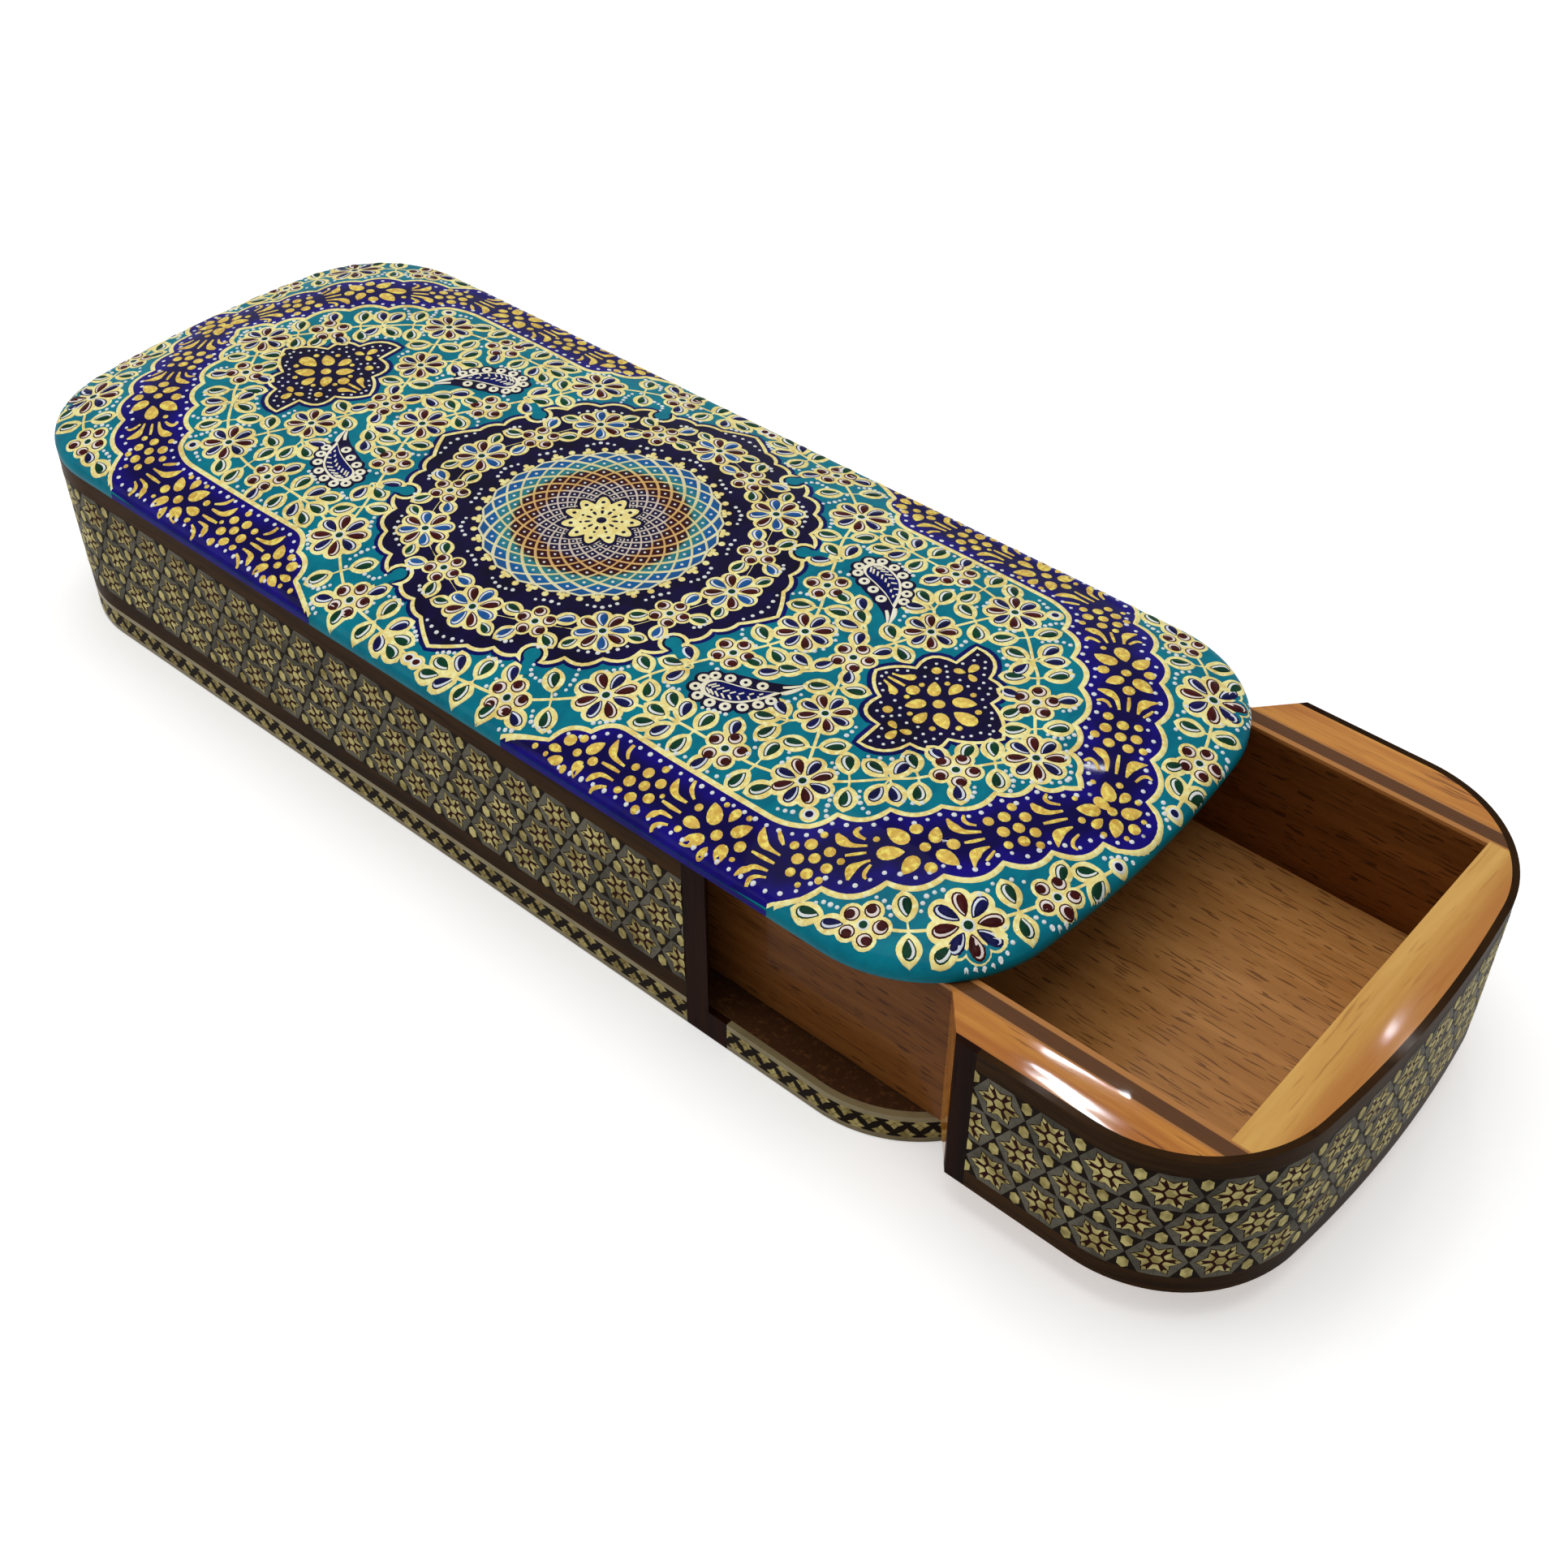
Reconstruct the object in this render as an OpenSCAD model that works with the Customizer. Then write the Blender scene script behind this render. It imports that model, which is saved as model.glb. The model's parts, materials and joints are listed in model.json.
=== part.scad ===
// Marquetry pen box with a drawer that forms one whole end.
// Origin: centre of the resting face. +X is the way the drawer opens, +Z is up. Millimetres.

/* [Plan] */
// Length of the closed box
box_length = 240; // [220:1:280]
// Width of the box
box_width = 98; // [92:1:112]
// Radius of the plan's corners
corner_radius = 25; // [20:0.5:30]
// How far the middle of each end bows out past its corners
end_bow = 5.5; // [3:0.5:8]

/* [Base] */
// Thickness of the base plate
base_height = 6.2; // [5:0.1:9]
// Height of the bone line under the border strip
low_line_height = 1.1; // [0.8:0.1:1.6]
// Height of the bone line over the border strip
high_line_height = 1.2; // [0.8:0.1:1.6]

/* [Walls] */
// Height of the walls between base plate and top panel
wall_height = 32; // [30:0.5:40]
// Height of the walnut band under the marquetry
low_band_height = 4.1; // [2:0.1:5]
// Height of the marquetry sheet
khatam_height = 23.9; // [20:0.1:25]
// Thickness of the veneer and marquetry skins
skin = 1.2; // [0.8:0.1:2]
// Width of the dark strip at the front end of each wall
post_width = 5; // [3:0.5:8]
// Width of the dark strip at each rear end of the drawer's skin
strip_width = 4; // [3:0.5:8]
// Thickness of the side walls with their skins
wall_thickness = 6.9; // [5:0.1:12]
// Length of the drawer's end piece, from the walls' front edge to the front of the closed box
end_length = 50; // [42:1:65]
// How far the slanted front end falls back from the outer to the inner face
slant_depth = 6; // [3:0.5:8]

/* [Top panel] */
// Height of the upright part of the panel's edge
edge_height = 0.8; // [0.5:0.1:2]
// Height of the rounded part of the panel's edge
edge_round_height = 2.6; // [2:0.1:4]
// Width of the rounded part of the panel's edge
edge_round_width = 3.6; // [2:0.1:5]
// Rise of the crown from the rounded edge to the flat middle
crown_height = 4; // [1:0.1:6]
// Width of the crown's slope inside the rounded edge
crown_width = 26; // [15:0.5:36]

/* [Drawer] */
// How far the drawer is drawn out
drawn = 48.5; // [0:0.5:130]
// Thickness of the drawer's sides
side_thickness = 3.3; // [2.5:0.1:5]
// Thickness of the veneer lining inside the sides
lining_thickness = 0.6; // [0.4:0.1:1]
// Thickness of the drawer's floor panel
floor_thickness = 4.6; // [3:0.1:6]
// Thickness of the drawer's back
back_thickness = 4; // [3:0.5:8]
// Depth of the front block on the centre line
front_depth = 10.8; // [9:0.1:16]
// Depth of the case's rear block on the centre line
rear_depth = 10; // [9:0.1:16]

/* [Clearances] */
// Gap between the drawer box and each side wall
side_gap = 0.5; // [0.3:0.1:1.2]
// Gap between the drawer and the base plate
floor_gap = 0.3; // [0.2:0.1:0.8]
// Gap between the drawer and the top panel
top_gap = 0.4; // [0.3:0.1:1]
// Gap between the slanted ends when the drawer is closed
closing_gap = 0.4; // [0.3:0.1:1]
// Gap between the drawer's back and the rear block when closed
back_gap = 1.5; // [0.5:0.1:4]

/* [Hidden] */
$fn = 96;

walnut = [0.18, 0.10, 0.055];
dark_walnut = [0.09, 0.05, 0.03];
marquetry = [0.42, 0.39, 0.30];
bone = [0.72, 0.66, 0.47];
fibreboard = [0.33, 0.20, 0.10];
beech = [0.55, 0.36, 0.19];
honey = [0.84, 0.66, 0.33];
amber = [0.72, 0.43, 0.12];
turquoise = [0.05, 0.53, 0.61];

half_length = box_length / 2;
half_width = box_width / 2;

// The end arc passes through the middle of the end and, if it ran on, through the plan's square corners
end_radius = (half_width * half_width + end_bow * end_bow) / (2 * end_bow);
end_centre = half_length - end_radius;
corner_y = half_width - corner_radius;
corner_x = end_centre + sqrt(pow(end_radius - corner_radius, 2) - pow(corner_y, 2));
end_angle = atan2(corner_y, corner_x - end_centre);

wall_bottom = base_height;
wall_top = wall_bottom + wall_height;
khatam_bottom = wall_bottom + low_band_height;
khatam_top = khatam_bottom + khatam_height;

drawer_bottom_z = wall_bottom + floor_gap;
drawer_top_z = wall_top - top_gap;
floor_top_z = drawer_bottom_z + floor_thickness;

channel_half = half_width - wall_thickness;
drawer_half = channel_half - side_gap;
inner_half = drawer_half - side_thickness;
wall_front = half_length - end_length;
rear_face = -half_length + rear_depth;
front_face = half_length - front_depth;
back_face = rear_face + back_gap;
block_front = wall_front + strip_width;
post_back = wall_front - post_width;

// Slope of the slanted ends: change of x for each millimetre of y
slant = slant_depth / wall_thickness;

// Far enough to pass every piece of the box
reach = box_length + box_width;

// Plan of the box drawn in by an inset: rounded as far in as the corner circles reach, sharp further in
module plan(inset = 0) {
    if (inset < corner_radius) rounded_plan(inset);
    else sharp_plan(inset);
}

// Straight sides, corner arcs and end arcs
module rounded_plan(inset) {
    square([2 * corner_x, 2 * (half_width - inset)], center = true);
    for (end = [0, 1]) mirror([end, 0]) {
        end_sector(inset);
        for (side = [-1, 1]) translate([corner_x, side * corner_y]) circle(r = corner_radius - inset);
    }
}

// Straight sides cut off by the two end arcs
module sharp_plan(inset) {
    intersection() {
        square([reach, 2 * (half_width - inset)], center = true);
        translate([end_centre, 0]) circle(r = end_radius - inset, $fn = 720);
        translate([-end_centre, 0]) circle(r = end_radius - inset, $fn = 720);
    }
}

// Slice of the end circle between the two corner circles, from the middle of the box outwards
module end_sector(inset) {
    near = max(0, end_centre);
    far = end_centre + 2 * end_radius;
    intersection() {
        translate([end_centre, 0]) circle(r = end_radius - inset, $fn = 720);
        polygon([for (corner = [[near, -1], [far, -1], [far, 1], [near, 1]])
            [corner[0], corner[1] * (corner[0] - end_centre) * tan(end_angle)]]);
    }
}

// Ring of the plan's edge, one skin thick
module plan_ring() {
    difference() {
        plan();
        plan(skin);
    }
}

// Half plane ahead of a line across the box
module ahead(x) {
    translate([x, -reach]) square([reach, 2 * reach]);
}

// Half plane behind a line across the box
module behind(x) {
    translate([x - reach, -reach]) square([reach, 2 * reach]);
}

// Region on one side of the slanted ends, which fall back from the outer faces towards the channel.
// Way is -1 for what lies behind the slant and 1 for what lies ahead of it.
module slant_side(way, gap = 0) {
    tip = wall_front + gap;
    polygon([
        [way * reach, -half_width], [tip, -half_width],
        [tip - slant * half_width, 0],
        [tip, half_width], [way * reach, half_width]
    ]);
}

// Strip of the plan on one side: 1 is the left side (+Y), -1 the right
module flank(side, from, to) {
    low = side > 0 ? from : -to;
    translate([-reach, low]) square([2 * reach, to - from]);
}

// Solid of a plan region between two heights
module slab(low, high) {
    translate([0, 0, low]) linear_extrude(high - low) children();
}

// Everything in the drawer is placed for the closed box and moved out by the draw
module in_drawer() {
    translate([drawn, 0, 0]) children();
}

module base_plate() {
    color(fibreboard) slab(0, base_height) plan(skin);
}

module border(low, high) {
    slab(low, high) intersection() {
        plan_ring();
        children();
    }
}

module base_border_rear() {
    color(marquetry) border(low_line_height, base_height - high_line_height) behind(post_back);
}

module base_border_front() {
    color(marquetry) border(low_line_height, base_height - high_line_height) ahead(block_front);
}

module base_line_high_rear() {
    color(bone) border(base_height - high_line_height, base_height) behind(post_back);
}

module base_line_high_front() {
    color(bone) border(base_height - high_line_height, base_height) ahead(block_front);
}

module base_line_low_rear() {
    color(bone) border(0, low_line_height) behind(post_back);
}

module base_line_low_front() {
    color(bone) border(0, low_line_height) ahead(block_front);
}

module base_block(side) {
    color(dark_walnut) border(0, base_height) intersection() {
        ahead(post_back);
        behind(block_front);
        flank(side, 0, half_width);
    }
}

module base_block_left() { base_block(1); }

module base_block_right() { base_block(-1); }

module wall(side) {
    color(walnut) slab(wall_bottom, wall_top) intersection() {
        plan(skin);
        flank(side, channel_half, half_width);
        ahead(rear_face);
        slant_side(-1);
    }
}

module wall_left() { wall(1); }

module wall_right() { wall(-1); }

module rear_block() {
    color(walnut) slab(wall_bottom, wall_top) intersection() {
        plan(skin);
        behind(rear_face);
    }
}

module body_skin(low, high) {
    slab(low, high) intersection() {
        plan_ring();
        behind(post_back);
    }
}

module body_band_low() {
    color(walnut) body_skin(wall_bottom, khatam_bottom);
}

module body_khatam() {
    color(marquetry) body_skin(khatam_bottom, khatam_top);
}

module body_band_high() {
    color(walnut) body_skin(khatam_top, wall_top);
}

module body_post(side) {
    color(dark_walnut) slab(wall_bottom, wall_top) intersection() {
        plan_ring();
        ahead(post_back);
        slant_side(-1);
        flank(side, 0, half_width);
    }
}

module body_post_left() { body_post(1); }

module body_post_right() { body_post(-1); }

// Pillow-shaped panel: an upright edge, a rounded edge and a gentle crown up to a flat middle
module top_panel() {
    edge_steps = 5;
    crown_steps = 8;
    sheet = 0.01;
    edge_top = wall_top + edge_height;
    round_top = edge_top + edge_round_height;
    color(turquoise) hull() {
        slab(wall_top, edge_top) plan();
        for (step = [1 : edge_steps]) {
            turn = 90 * step / edge_steps;
            level = edge_top + edge_round_height * sin(turn);
            slab(level - sheet, level) plan(edge_round_width * (1 - cos(turn)));
        }
        for (step = [1 : crown_steps]) {
            share = step / crown_steps;
            level = round_top + crown_height * (1 - pow(1 - share, 2));
            slab(level - sheet, level) plan(edge_round_width + crown_width * share);
        }
    }
}

module drawer_bottom() {
    color(beech) in_drawer() slab(drawer_bottom_z, floor_top_z) intersection() {
        ahead(back_face + back_thickness);
        behind(front_face);
        square([reach, 2 * inner_half], center = true);
    }
}

module drawer_side(side) {
    color(walnut) in_drawer() slab(drawer_bottom_z, drawer_top_z) intersection() {
        plan(skin);
        flank(side, inner_half, drawer_half);
        ahead(back_face);
    }
}

module drawer_side_left() { drawer_side(1); }

module drawer_side_right() { drawer_side(-1); }

module drawer_lining(side) {
    color(beech) in_drawer() slab(floor_top_z, drawer_top_z) intersection() {
        flank(side, inner_half - lining_thickness, inner_half);
        ahead(back_face + back_thickness);
        behind(front_face);
    }
}

module drawer_lining_left() { drawer_lining(1); }

module drawer_lining_right() { drawer_lining(-1); }

module drawer_back() {
    color(beech) in_drawer() slab(drawer_bottom_z, drawer_top_z) intersection() {
        ahead(back_face);
        behind(back_face + back_thickness);
        square([reach, 2 * inner_half], center = true);
    }
}

module drawer_front() {
    color(honey) in_drawer() slab(drawer_bottom_z, drawer_top_z) intersection() {
        plan(skin);
        ahead(front_face);
        square([reach, 2 * inner_half], center = true);
    }
}

module drawer_filler(side) {
    color(amber) in_drawer() slab(drawer_bottom_z, drawer_top_z) intersection() {
        plan(skin);
        flank(side, drawer_half, half_width);
        slant_side(1, closing_gap);
    }
}

module drawer_filler_left() { drawer_filler(1); }

module drawer_filler_right() { drawer_filler(-1); }

module drawer_skin(low, high) {
    in_drawer() slab(low, high) intersection() {
        plan_ring();
        ahead(block_front);
    }
}

module drawer_band_low() {
    color(walnut) drawer_skin(drawer_bottom_z, khatam_bottom);
}

module drawer_khatam() {
    color(marquetry) drawer_skin(khatam_bottom, khatam_top);
}

module drawer_band_high() {
    color(walnut) drawer_skin(khatam_top, drawer_top_z);
}

module drawer_strip(side) {
    color(dark_walnut) in_drawer() slab(drawer_bottom_z, drawer_top_z) intersection() {
        plan_ring();
        slant_side(1, closing_gap);
        behind(block_front);
        flank(side, 0, half_width);
    }
}

module drawer_strip_left() { drawer_strip(1); }

module drawer_strip_right() { drawer_strip(-1); }

base_plate();
base_border_rear();
base_border_front();
base_line_high_rear();
base_line_high_front();
base_line_low_rear();
base_line_low_front();
base_block_left();
base_block_right();
wall_left();
wall_right();
rear_block();
body_band_low();
body_khatam();
body_band_high();
body_post_left();
body_post_right();
top_panel();
drawer_bottom();
drawer_side_left();
drawer_side_right();
drawer_lining_left();
drawer_lining_right();
drawer_back();
drawer_front();
drawer_filler_left();
drawer_filler_right();
drawer_band_low();
drawer_khatam();
drawer_band_high();
drawer_strip_left();
drawer_strip_right();
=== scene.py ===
import json
import math

import bpy
from mathutils import Matrix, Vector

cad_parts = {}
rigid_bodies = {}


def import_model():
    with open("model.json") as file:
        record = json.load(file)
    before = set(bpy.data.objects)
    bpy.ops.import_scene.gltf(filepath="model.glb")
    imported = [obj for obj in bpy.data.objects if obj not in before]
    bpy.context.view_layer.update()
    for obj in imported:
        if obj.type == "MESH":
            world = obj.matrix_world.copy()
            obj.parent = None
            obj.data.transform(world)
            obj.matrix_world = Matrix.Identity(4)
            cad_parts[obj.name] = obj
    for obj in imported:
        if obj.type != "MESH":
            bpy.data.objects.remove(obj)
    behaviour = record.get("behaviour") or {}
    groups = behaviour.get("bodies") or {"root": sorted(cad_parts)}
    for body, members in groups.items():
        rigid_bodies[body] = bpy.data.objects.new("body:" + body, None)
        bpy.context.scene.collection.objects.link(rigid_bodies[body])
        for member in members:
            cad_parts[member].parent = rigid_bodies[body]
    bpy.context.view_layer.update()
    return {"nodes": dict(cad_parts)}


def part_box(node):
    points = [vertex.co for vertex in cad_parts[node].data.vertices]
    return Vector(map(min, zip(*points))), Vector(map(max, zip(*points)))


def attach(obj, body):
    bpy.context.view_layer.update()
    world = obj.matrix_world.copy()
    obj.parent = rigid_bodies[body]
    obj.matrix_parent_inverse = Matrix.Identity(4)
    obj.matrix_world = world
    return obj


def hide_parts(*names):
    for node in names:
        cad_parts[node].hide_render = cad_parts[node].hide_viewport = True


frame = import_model()


# Base plate: one sheet of fibreboard sawn to the plan of the box. Its raw brown face
# shows where the drawer has slid away, with the marks that the drawer's sides rub into it.
class Wire:
    """One output in a material or a geometry tree. Sums on it add Math nodes."""

    def __init__(self, tree, socket):
        self.tree = tree
        self.socket = socket

    def node(self, kind, settings=None, values=None, out=0):
        made = self.tree.nodes.new(kind)
        for name, value in (settings or {}).items():
            if name == "stops":
                ramp = made.color_ramp.elements
                while len(ramp) < len(value):
                    ramp.new(0.5)
                for element, (place, colour) in zip(ramp, value):
                    element.position = place
                    element.color = colour
            else:
                setattr(made, name, value)
        for name, value in (values or {}).items():
            if isinstance(value, Wire):
                self.tree.links.new(value.socket, made.inputs[name])
            else:
                made.inputs[name].default_value = value
        return Wire(self.tree, made.outputs[out])

    def sum(self, operation, *values):
        return self.node("ShaderNodeMath", {"operation": operation}, dict(enumerate(values or (self,))))

    def __add__(self, other):
        return self.sum("ADD", self, other)

    def __radd__(self, other):
        return self.sum("ADD", other, self)

    def __sub__(self, other):
        return self.sum("SUBTRACT", self, other)

    def __rsub__(self, other):
        return self.sum("SUBTRACT", other, self)

    def __mul__(self, other):
        return self.sum("MULTIPLY", self, other)

    def __rmul__(self, other):
        return self.sum("MULTIPLY", other, self)

    def __truediv__(self, other):
        return self.sum("DIVIDE", self, other)

    def between(self, low, high):
        """0 below low, 1 above high, and a soft step from one to the other."""
        return self.node("ShaderNodeMapRange", {"interpolation_type": "SMOOTHSTEP"},
                         {"Value": self, "From Min": low, "From Max": high})

    def noise(self, scale, stretch=(1, 1, 1), detail=3.0, rough=0.55):
        laid = self.node("ShaderNodeMapping", {}, {"Vector": self, "Scale": stretch})
        return self.node("ShaderNodeTexNoise", {},
                         {"Vector": laid, "Scale": scale, "Detail": detail, "Roughness": rough})

    def mix(self, first, second):
        """From the first colour to the second as this value goes from 0 to 1."""
        return self.node("ShaderNodeMix", {"data_type": "RGBA"}, {0: self, 6: first, 7: second}, 2)

    def bump(self, height):
        return self.node("ShaderNodeBump", {}, {"Height": self, "Distance": height})

    def part(self, axis):
        """One of the three numbers of a vector."""
        return self.node("ShaderNodeSeparateXYZ", {}, {"Vector": self}, axis)

    def vector(self, operation, value, label=1):
        return self.node("ShaderNodeVectorMath", {"operation": operation}, {0: self, label: value})

    def attribute(self, name, kind="FLOAT"):
        """A value that the points of a mesh carry under this name."""
        return self.node("GeometryNodeInputNamedAttribute", {"data_type": kind}, {"Name": name})

    def stored(self, name, value):
        """This geometry, with a value kept on its points under this name."""
        return self.node("GeometryNodeStoreNamedAttribute", {"data_type": "FLOAT", "domain": "POINT"},
                         {"Geometry": self, "Name": name, "Value": value})


def tint(red, green, blue):
    """A colour in screen values, as the light values that a shader takes."""
    light = [((c / 255 + 0.055) / 1.055) ** 2.4 if c > 10 else c / 3295 for c in (red, green, blue)]
    return (*light, 1.0)


def finish(name, surface, **constants):
    """A material: surface(place) gives what changes over it, and the constants are set on the shader."""
    made = bpy.data.materials.new(name)
    made.use_nodes = True
    tree = made.node_tree
    shader = tree.nodes["Principled BSDF"]
    for label, value in constants.items():
        shader.inputs[label.replace("_", " ")].default_value = value
    place = Wire(tree, tree.nodes.new("ShaderNodeTexCoord").outputs["Object"])
    for label, wire in surface(place).items():
        tree.links.new(wire.socket, shader.inputs[label])
    return made


def dress(material, *nodes):
    for node in nodes:
        for slot in frame["nodes"][node].material_slots:
            slot.material = material


def fibreboard_face(place):
    blotch = place.noise(70, detail=4)
    chips = place.noise(900, detail=2, rough=0.7)
    rubbed = place.noise(6, (0.3, 14, 1), detail=2).between(0.5, 0.62)
    ground = blotch.mix(tint(50, 28, 11), tint(82, 48, 21))
    flecked = chips.between(0.5, 0.75).mix(ground, tint(104, 66, 32))
    return {
        "Base Color": (rubbed * 0.45).mix(flecked, tint(38, 20, 8)),
        "Roughness": 0.5 + chips * 0.3,
        "Normal": chips.bump(0.00015),
    }


fibreboard = finish("fibreboard", fibreboard_face, Specular_IOR_Level=0.15)
dress(fibreboard, "base_plate")


# Bone lines: two thin strips of camel bone glued round the edge of the base plate, one above
# and one below the border. The lower one is duller from handling.
def bone_face(worn):
    def surface(place):
        streak = place.noise(40, (1, 1, 14), detail=4)
        stain = place.noise(160, detail=3).between(0.45, 0.75)
        clean = streak.mix(tint(164, 150, 112), tint(132, 118, 84))
        return {
            "Base Color": (worn + stain * 0.35).mix(clean, tint(94, 78, 46)),
            "Roughness": 0.3 + stain * 0.25,
            "Normal": place.noise(1500, (1, 1, 5)).bump(0.00004),
        }
    return surface


dress(finish("bone_line", bone_face(0.05), Coat_Weight=0.1, Coat_Roughness=0.08, Specular_IOR_Level=0.1),
      "base_line_high_rear", "base_line_high_front")
dress(finish("bone_line_worn", bone_face(0.35), Coat_Weight=0.1, Coat_Roughness=0.15, Specular_IOR_Level=0.1),
      "base_line_low_rear", "base_line_low_front")


# Border strip: a ready-made veneer of black wood set with brass trefoils, which hang from the
# upper bone line and stand on the lower one by turns. Brass and wood are filed flush, then lacquered.
MM = 0.001
HALF_LENGTH, HALF_WIDTH, CORNER, BOW = 120.0, 49.0, 25.0, 5.5
END_RADIUS = (HALF_WIDTH ** 2 + BOW ** 2) / (2 * BOW)
END_CENTRE = HALF_LENGTH - END_RADIUS
CORNER_Y = HALF_WIDTH - CORNER
CORNER_X = END_CENTRE + math.sqrt((END_RADIUS - CORNER) ** 2 - CORNER_Y ** 2)
END_ANGLE = math.atan2(CORNER_Y, CORNER_X - END_CENTRE)
DRAWN = 48.5
POST_BACK, BLOCK_FRONT = 65.0, 74.0
CORNER_STEPS, END_STEPS = 26, 24


def end_line(inset):
    """The rounded front end of the plan, from the near side to the far side."""
    square = math.pi / 2
    line = []
    for side, start, stop in ((-1, -square, -END_ANGLE), (0, -END_ANGLE, END_ANGLE), (1, END_ANGLE, square)):
        steps = CORNER_STEPS if side else END_STEPS
        centre = (CORNER_X, side * CORNER_Y) if side else (END_CENTRE, 0)
        radius = (CORNER if side else END_RADIUS) - inset
        for step in range(steps + (side == 1)):
            turn = start + (stop - start) * step / steps
            line.append((centre[0] + radius * math.cos(turn), centre[1] + radius * math.sin(turn)))
    return line


def reach(line):
    return sum(math.dist(a, b) for a, b in zip(line, line[1:]))


def put(name, data):
    """A new object in the scene, at the origin."""
    made = bpy.data.objects.new(name, data)
    bpy.context.scene.collection.objects.link(made)
    return made


def path_curve(name, line):
    data = bpy.data.curves.new(name, "CURVE")
    data.dimensions = "3D"
    spline = data.splines.new("POLY")
    spline.points.add(len(line) - 1)
    for point, (x, y) in zip(spline.points, line):
        point.co = (x * MM, y * MM, 0, 1)
    return put(name, data)


rear_line = [(POST_BACK, HALF_WIDTH)] + [(-x, -y) for x, y in end_line(0)] + [(POST_BACK, -HALF_WIDTH)]
front_line = [(BLOCK_FRONT, -HALF_WIDTH)] + end_line(0) + [(BLOCK_FRONT, HALF_WIDTH)]
drawer_line = [(x + DRAWN, y) for x, y in front_line]
rear_path = path_curve("rear_path", rear_line)
front_path = path_curve("front_path", front_line)
drawer_path = path_curve("drawer_path", drawer_line)


def new_tree(name, **inputs):
    """An empty geometry tree with named inputs, and a wire from each of them."""
    tree = bpy.data.node_groups.new(name, "GeometryNodeTree")
    tree.interface.new_socket("Geometry", in_out="INPUT", socket_type="NodeSocketGeometry")
    for label, kind in inputs.items():
        tree.interface.new_socket(label.replace("_", " "), in_out="INPUT", socket_type="NodeSocket" + kind)
    tree.interface.new_socket("Geometry", in_out="OUTPUT", socket_type="NodeSocketGeometry")
    start = tree.nodes.new("NodeGroupInput")
    return tree, {socket.name: Wire(tree, socket) for socket in start.outputs if socket.name}


def end_tree(tree, result):
    tree.links.new(result.socket, tree.nodes.new("NodeGroupOutput").inputs["Geometry"])
    return tree


SPARE_COLUMNS, CUT_MERGE = 3, 0.000004


def inlay_tree():
    """Rods of one kind in staggered rows on a flat sheet, bent round the outline of the box."""
    tree, given = new_tree("inlay_sheet", Rod="Object", Path="Object", Pitch="Float", Rows="Int",
                           Row_step="Float", Middle="Float", Phase="Float", Length="Float", Finish="Material")
    any_wire, pitch, rows, step = given["Geometry"], given["Pitch"], given["Rows"], given["Row step"]
    columns = (given["Length"] / pitch).sum("CEIL") + SPARE_COLUMNS
    grid = any_wire.node("GeometryNodeMeshGrid", {}, {
        "Size X": (columns - 1) * pitch, "Size Y": (rows - 1) * step,
        "Vertices X": columns, "Vertices Y": rows})
    spot = any_wire.node("GeometryNodeInputPosition")
    across, up = spot.part(0), spot.part(1)
    row = (up / step + (rows - 1) * 0.5 + 0.25).sum("FLOOR")
    phase = given["Phase"].sum("FLOORED_MODULO", given["Phase"], pitch)
    along = across + (columns - 1) * pitch * 0.5 - pitch + phase
    along = along + row.sum("FLOORED_MODULO", row, 2) * pitch * 0.5
    flat = spot.node("ShaderNodeCombineXYZ", {}, {"X": along, "Z": up + given["Middle"]})
    laid = grid.node("GeometryNodeSetPosition", {}, {"Geometry": grid, "Position": flat})
    rod = any_wire.node("GeometryNodeObjectInfo", {}, {"Object": given["Rod"]}, "Geometry")
    placed = laid.node("GeometryNodeInstanceOnPoints", {}, {"Points": laid, "Instance": rod})
    sheet = placed.node("GeometryNodeRealizeInstances", {}, {"Geometry": placed})
    x, y, z = (spot.part(axis) for axis in range(3))
    cut = x.sum("MAXIMUM", 0.0, x.sum("MINIMUM", given["Length"], x))
    path = any_wire.node("GeometryNodeObjectInfo", {}, {"Object": given["Path"]}, "Geometry")
    on_path, heading = (
        path.node("GeometryNodeSampleCurve", {"mode": "LENGTH", "use_all_curves": True},
                  {"Curves": path, "Length": cut}, output) for output in ("Position", "Tangent"))
    proud = heading.vector("CROSS_PRODUCT", (0, 0, 1)).vector("SCALE", y, "Scale")
    raised = proud.vector("ADD", z.node("ShaderNodeCombineXYZ", {}, {"Z": z}))
    place = raised.vector("ADD", on_path)
    bent = sheet.node("GeometryNodeSetPosition", {}, {"Geometry": sheet, "Position": place})
    clean = bent.node("GeometryNodeMergeByDistance", {}, {"Geometry": bent, "Distance": CUT_MERGE})
    return end_tree(tree, clean.node("GeometryNodeSetMaterial", {},
                                     {"Geometry": clean, "Material": given["Finish"]}))


def grown(name, tree, seed, body, **inputs):
    """Runs a geometry tree on a seed mesh and keeps what it makes as one plain mesh on a body."""
    piece = put(name, seed)
    modifier = piece.modifiers.new(name, "NODES")
    modifier.node_group = tree
    for socket in tree.interface.items_tree:
        if socket.in_out == "INPUT" and socket.name.replace(" ", "_") in inputs:
            modifier[socket.identifier] = inputs[socket.name.replace(" ", "_")]
    bpy.context.view_layer.update()
    graph = bpy.context.evaluated_depsgraph_get()
    made = bpy.data.meshes.new_from_object(piece.evaluated_get(graph), depsgraph=graph)
    piece.modifiers.clear()
    piece.data = made
    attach(piece, body)
    return piece


ROD_FOOT, ROD_TOP = 0.01, 0.94


def centre_of(shape):
    return [sum(p[axis] for p in shape) / len(shape) for axis in (0, 1)]


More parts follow.
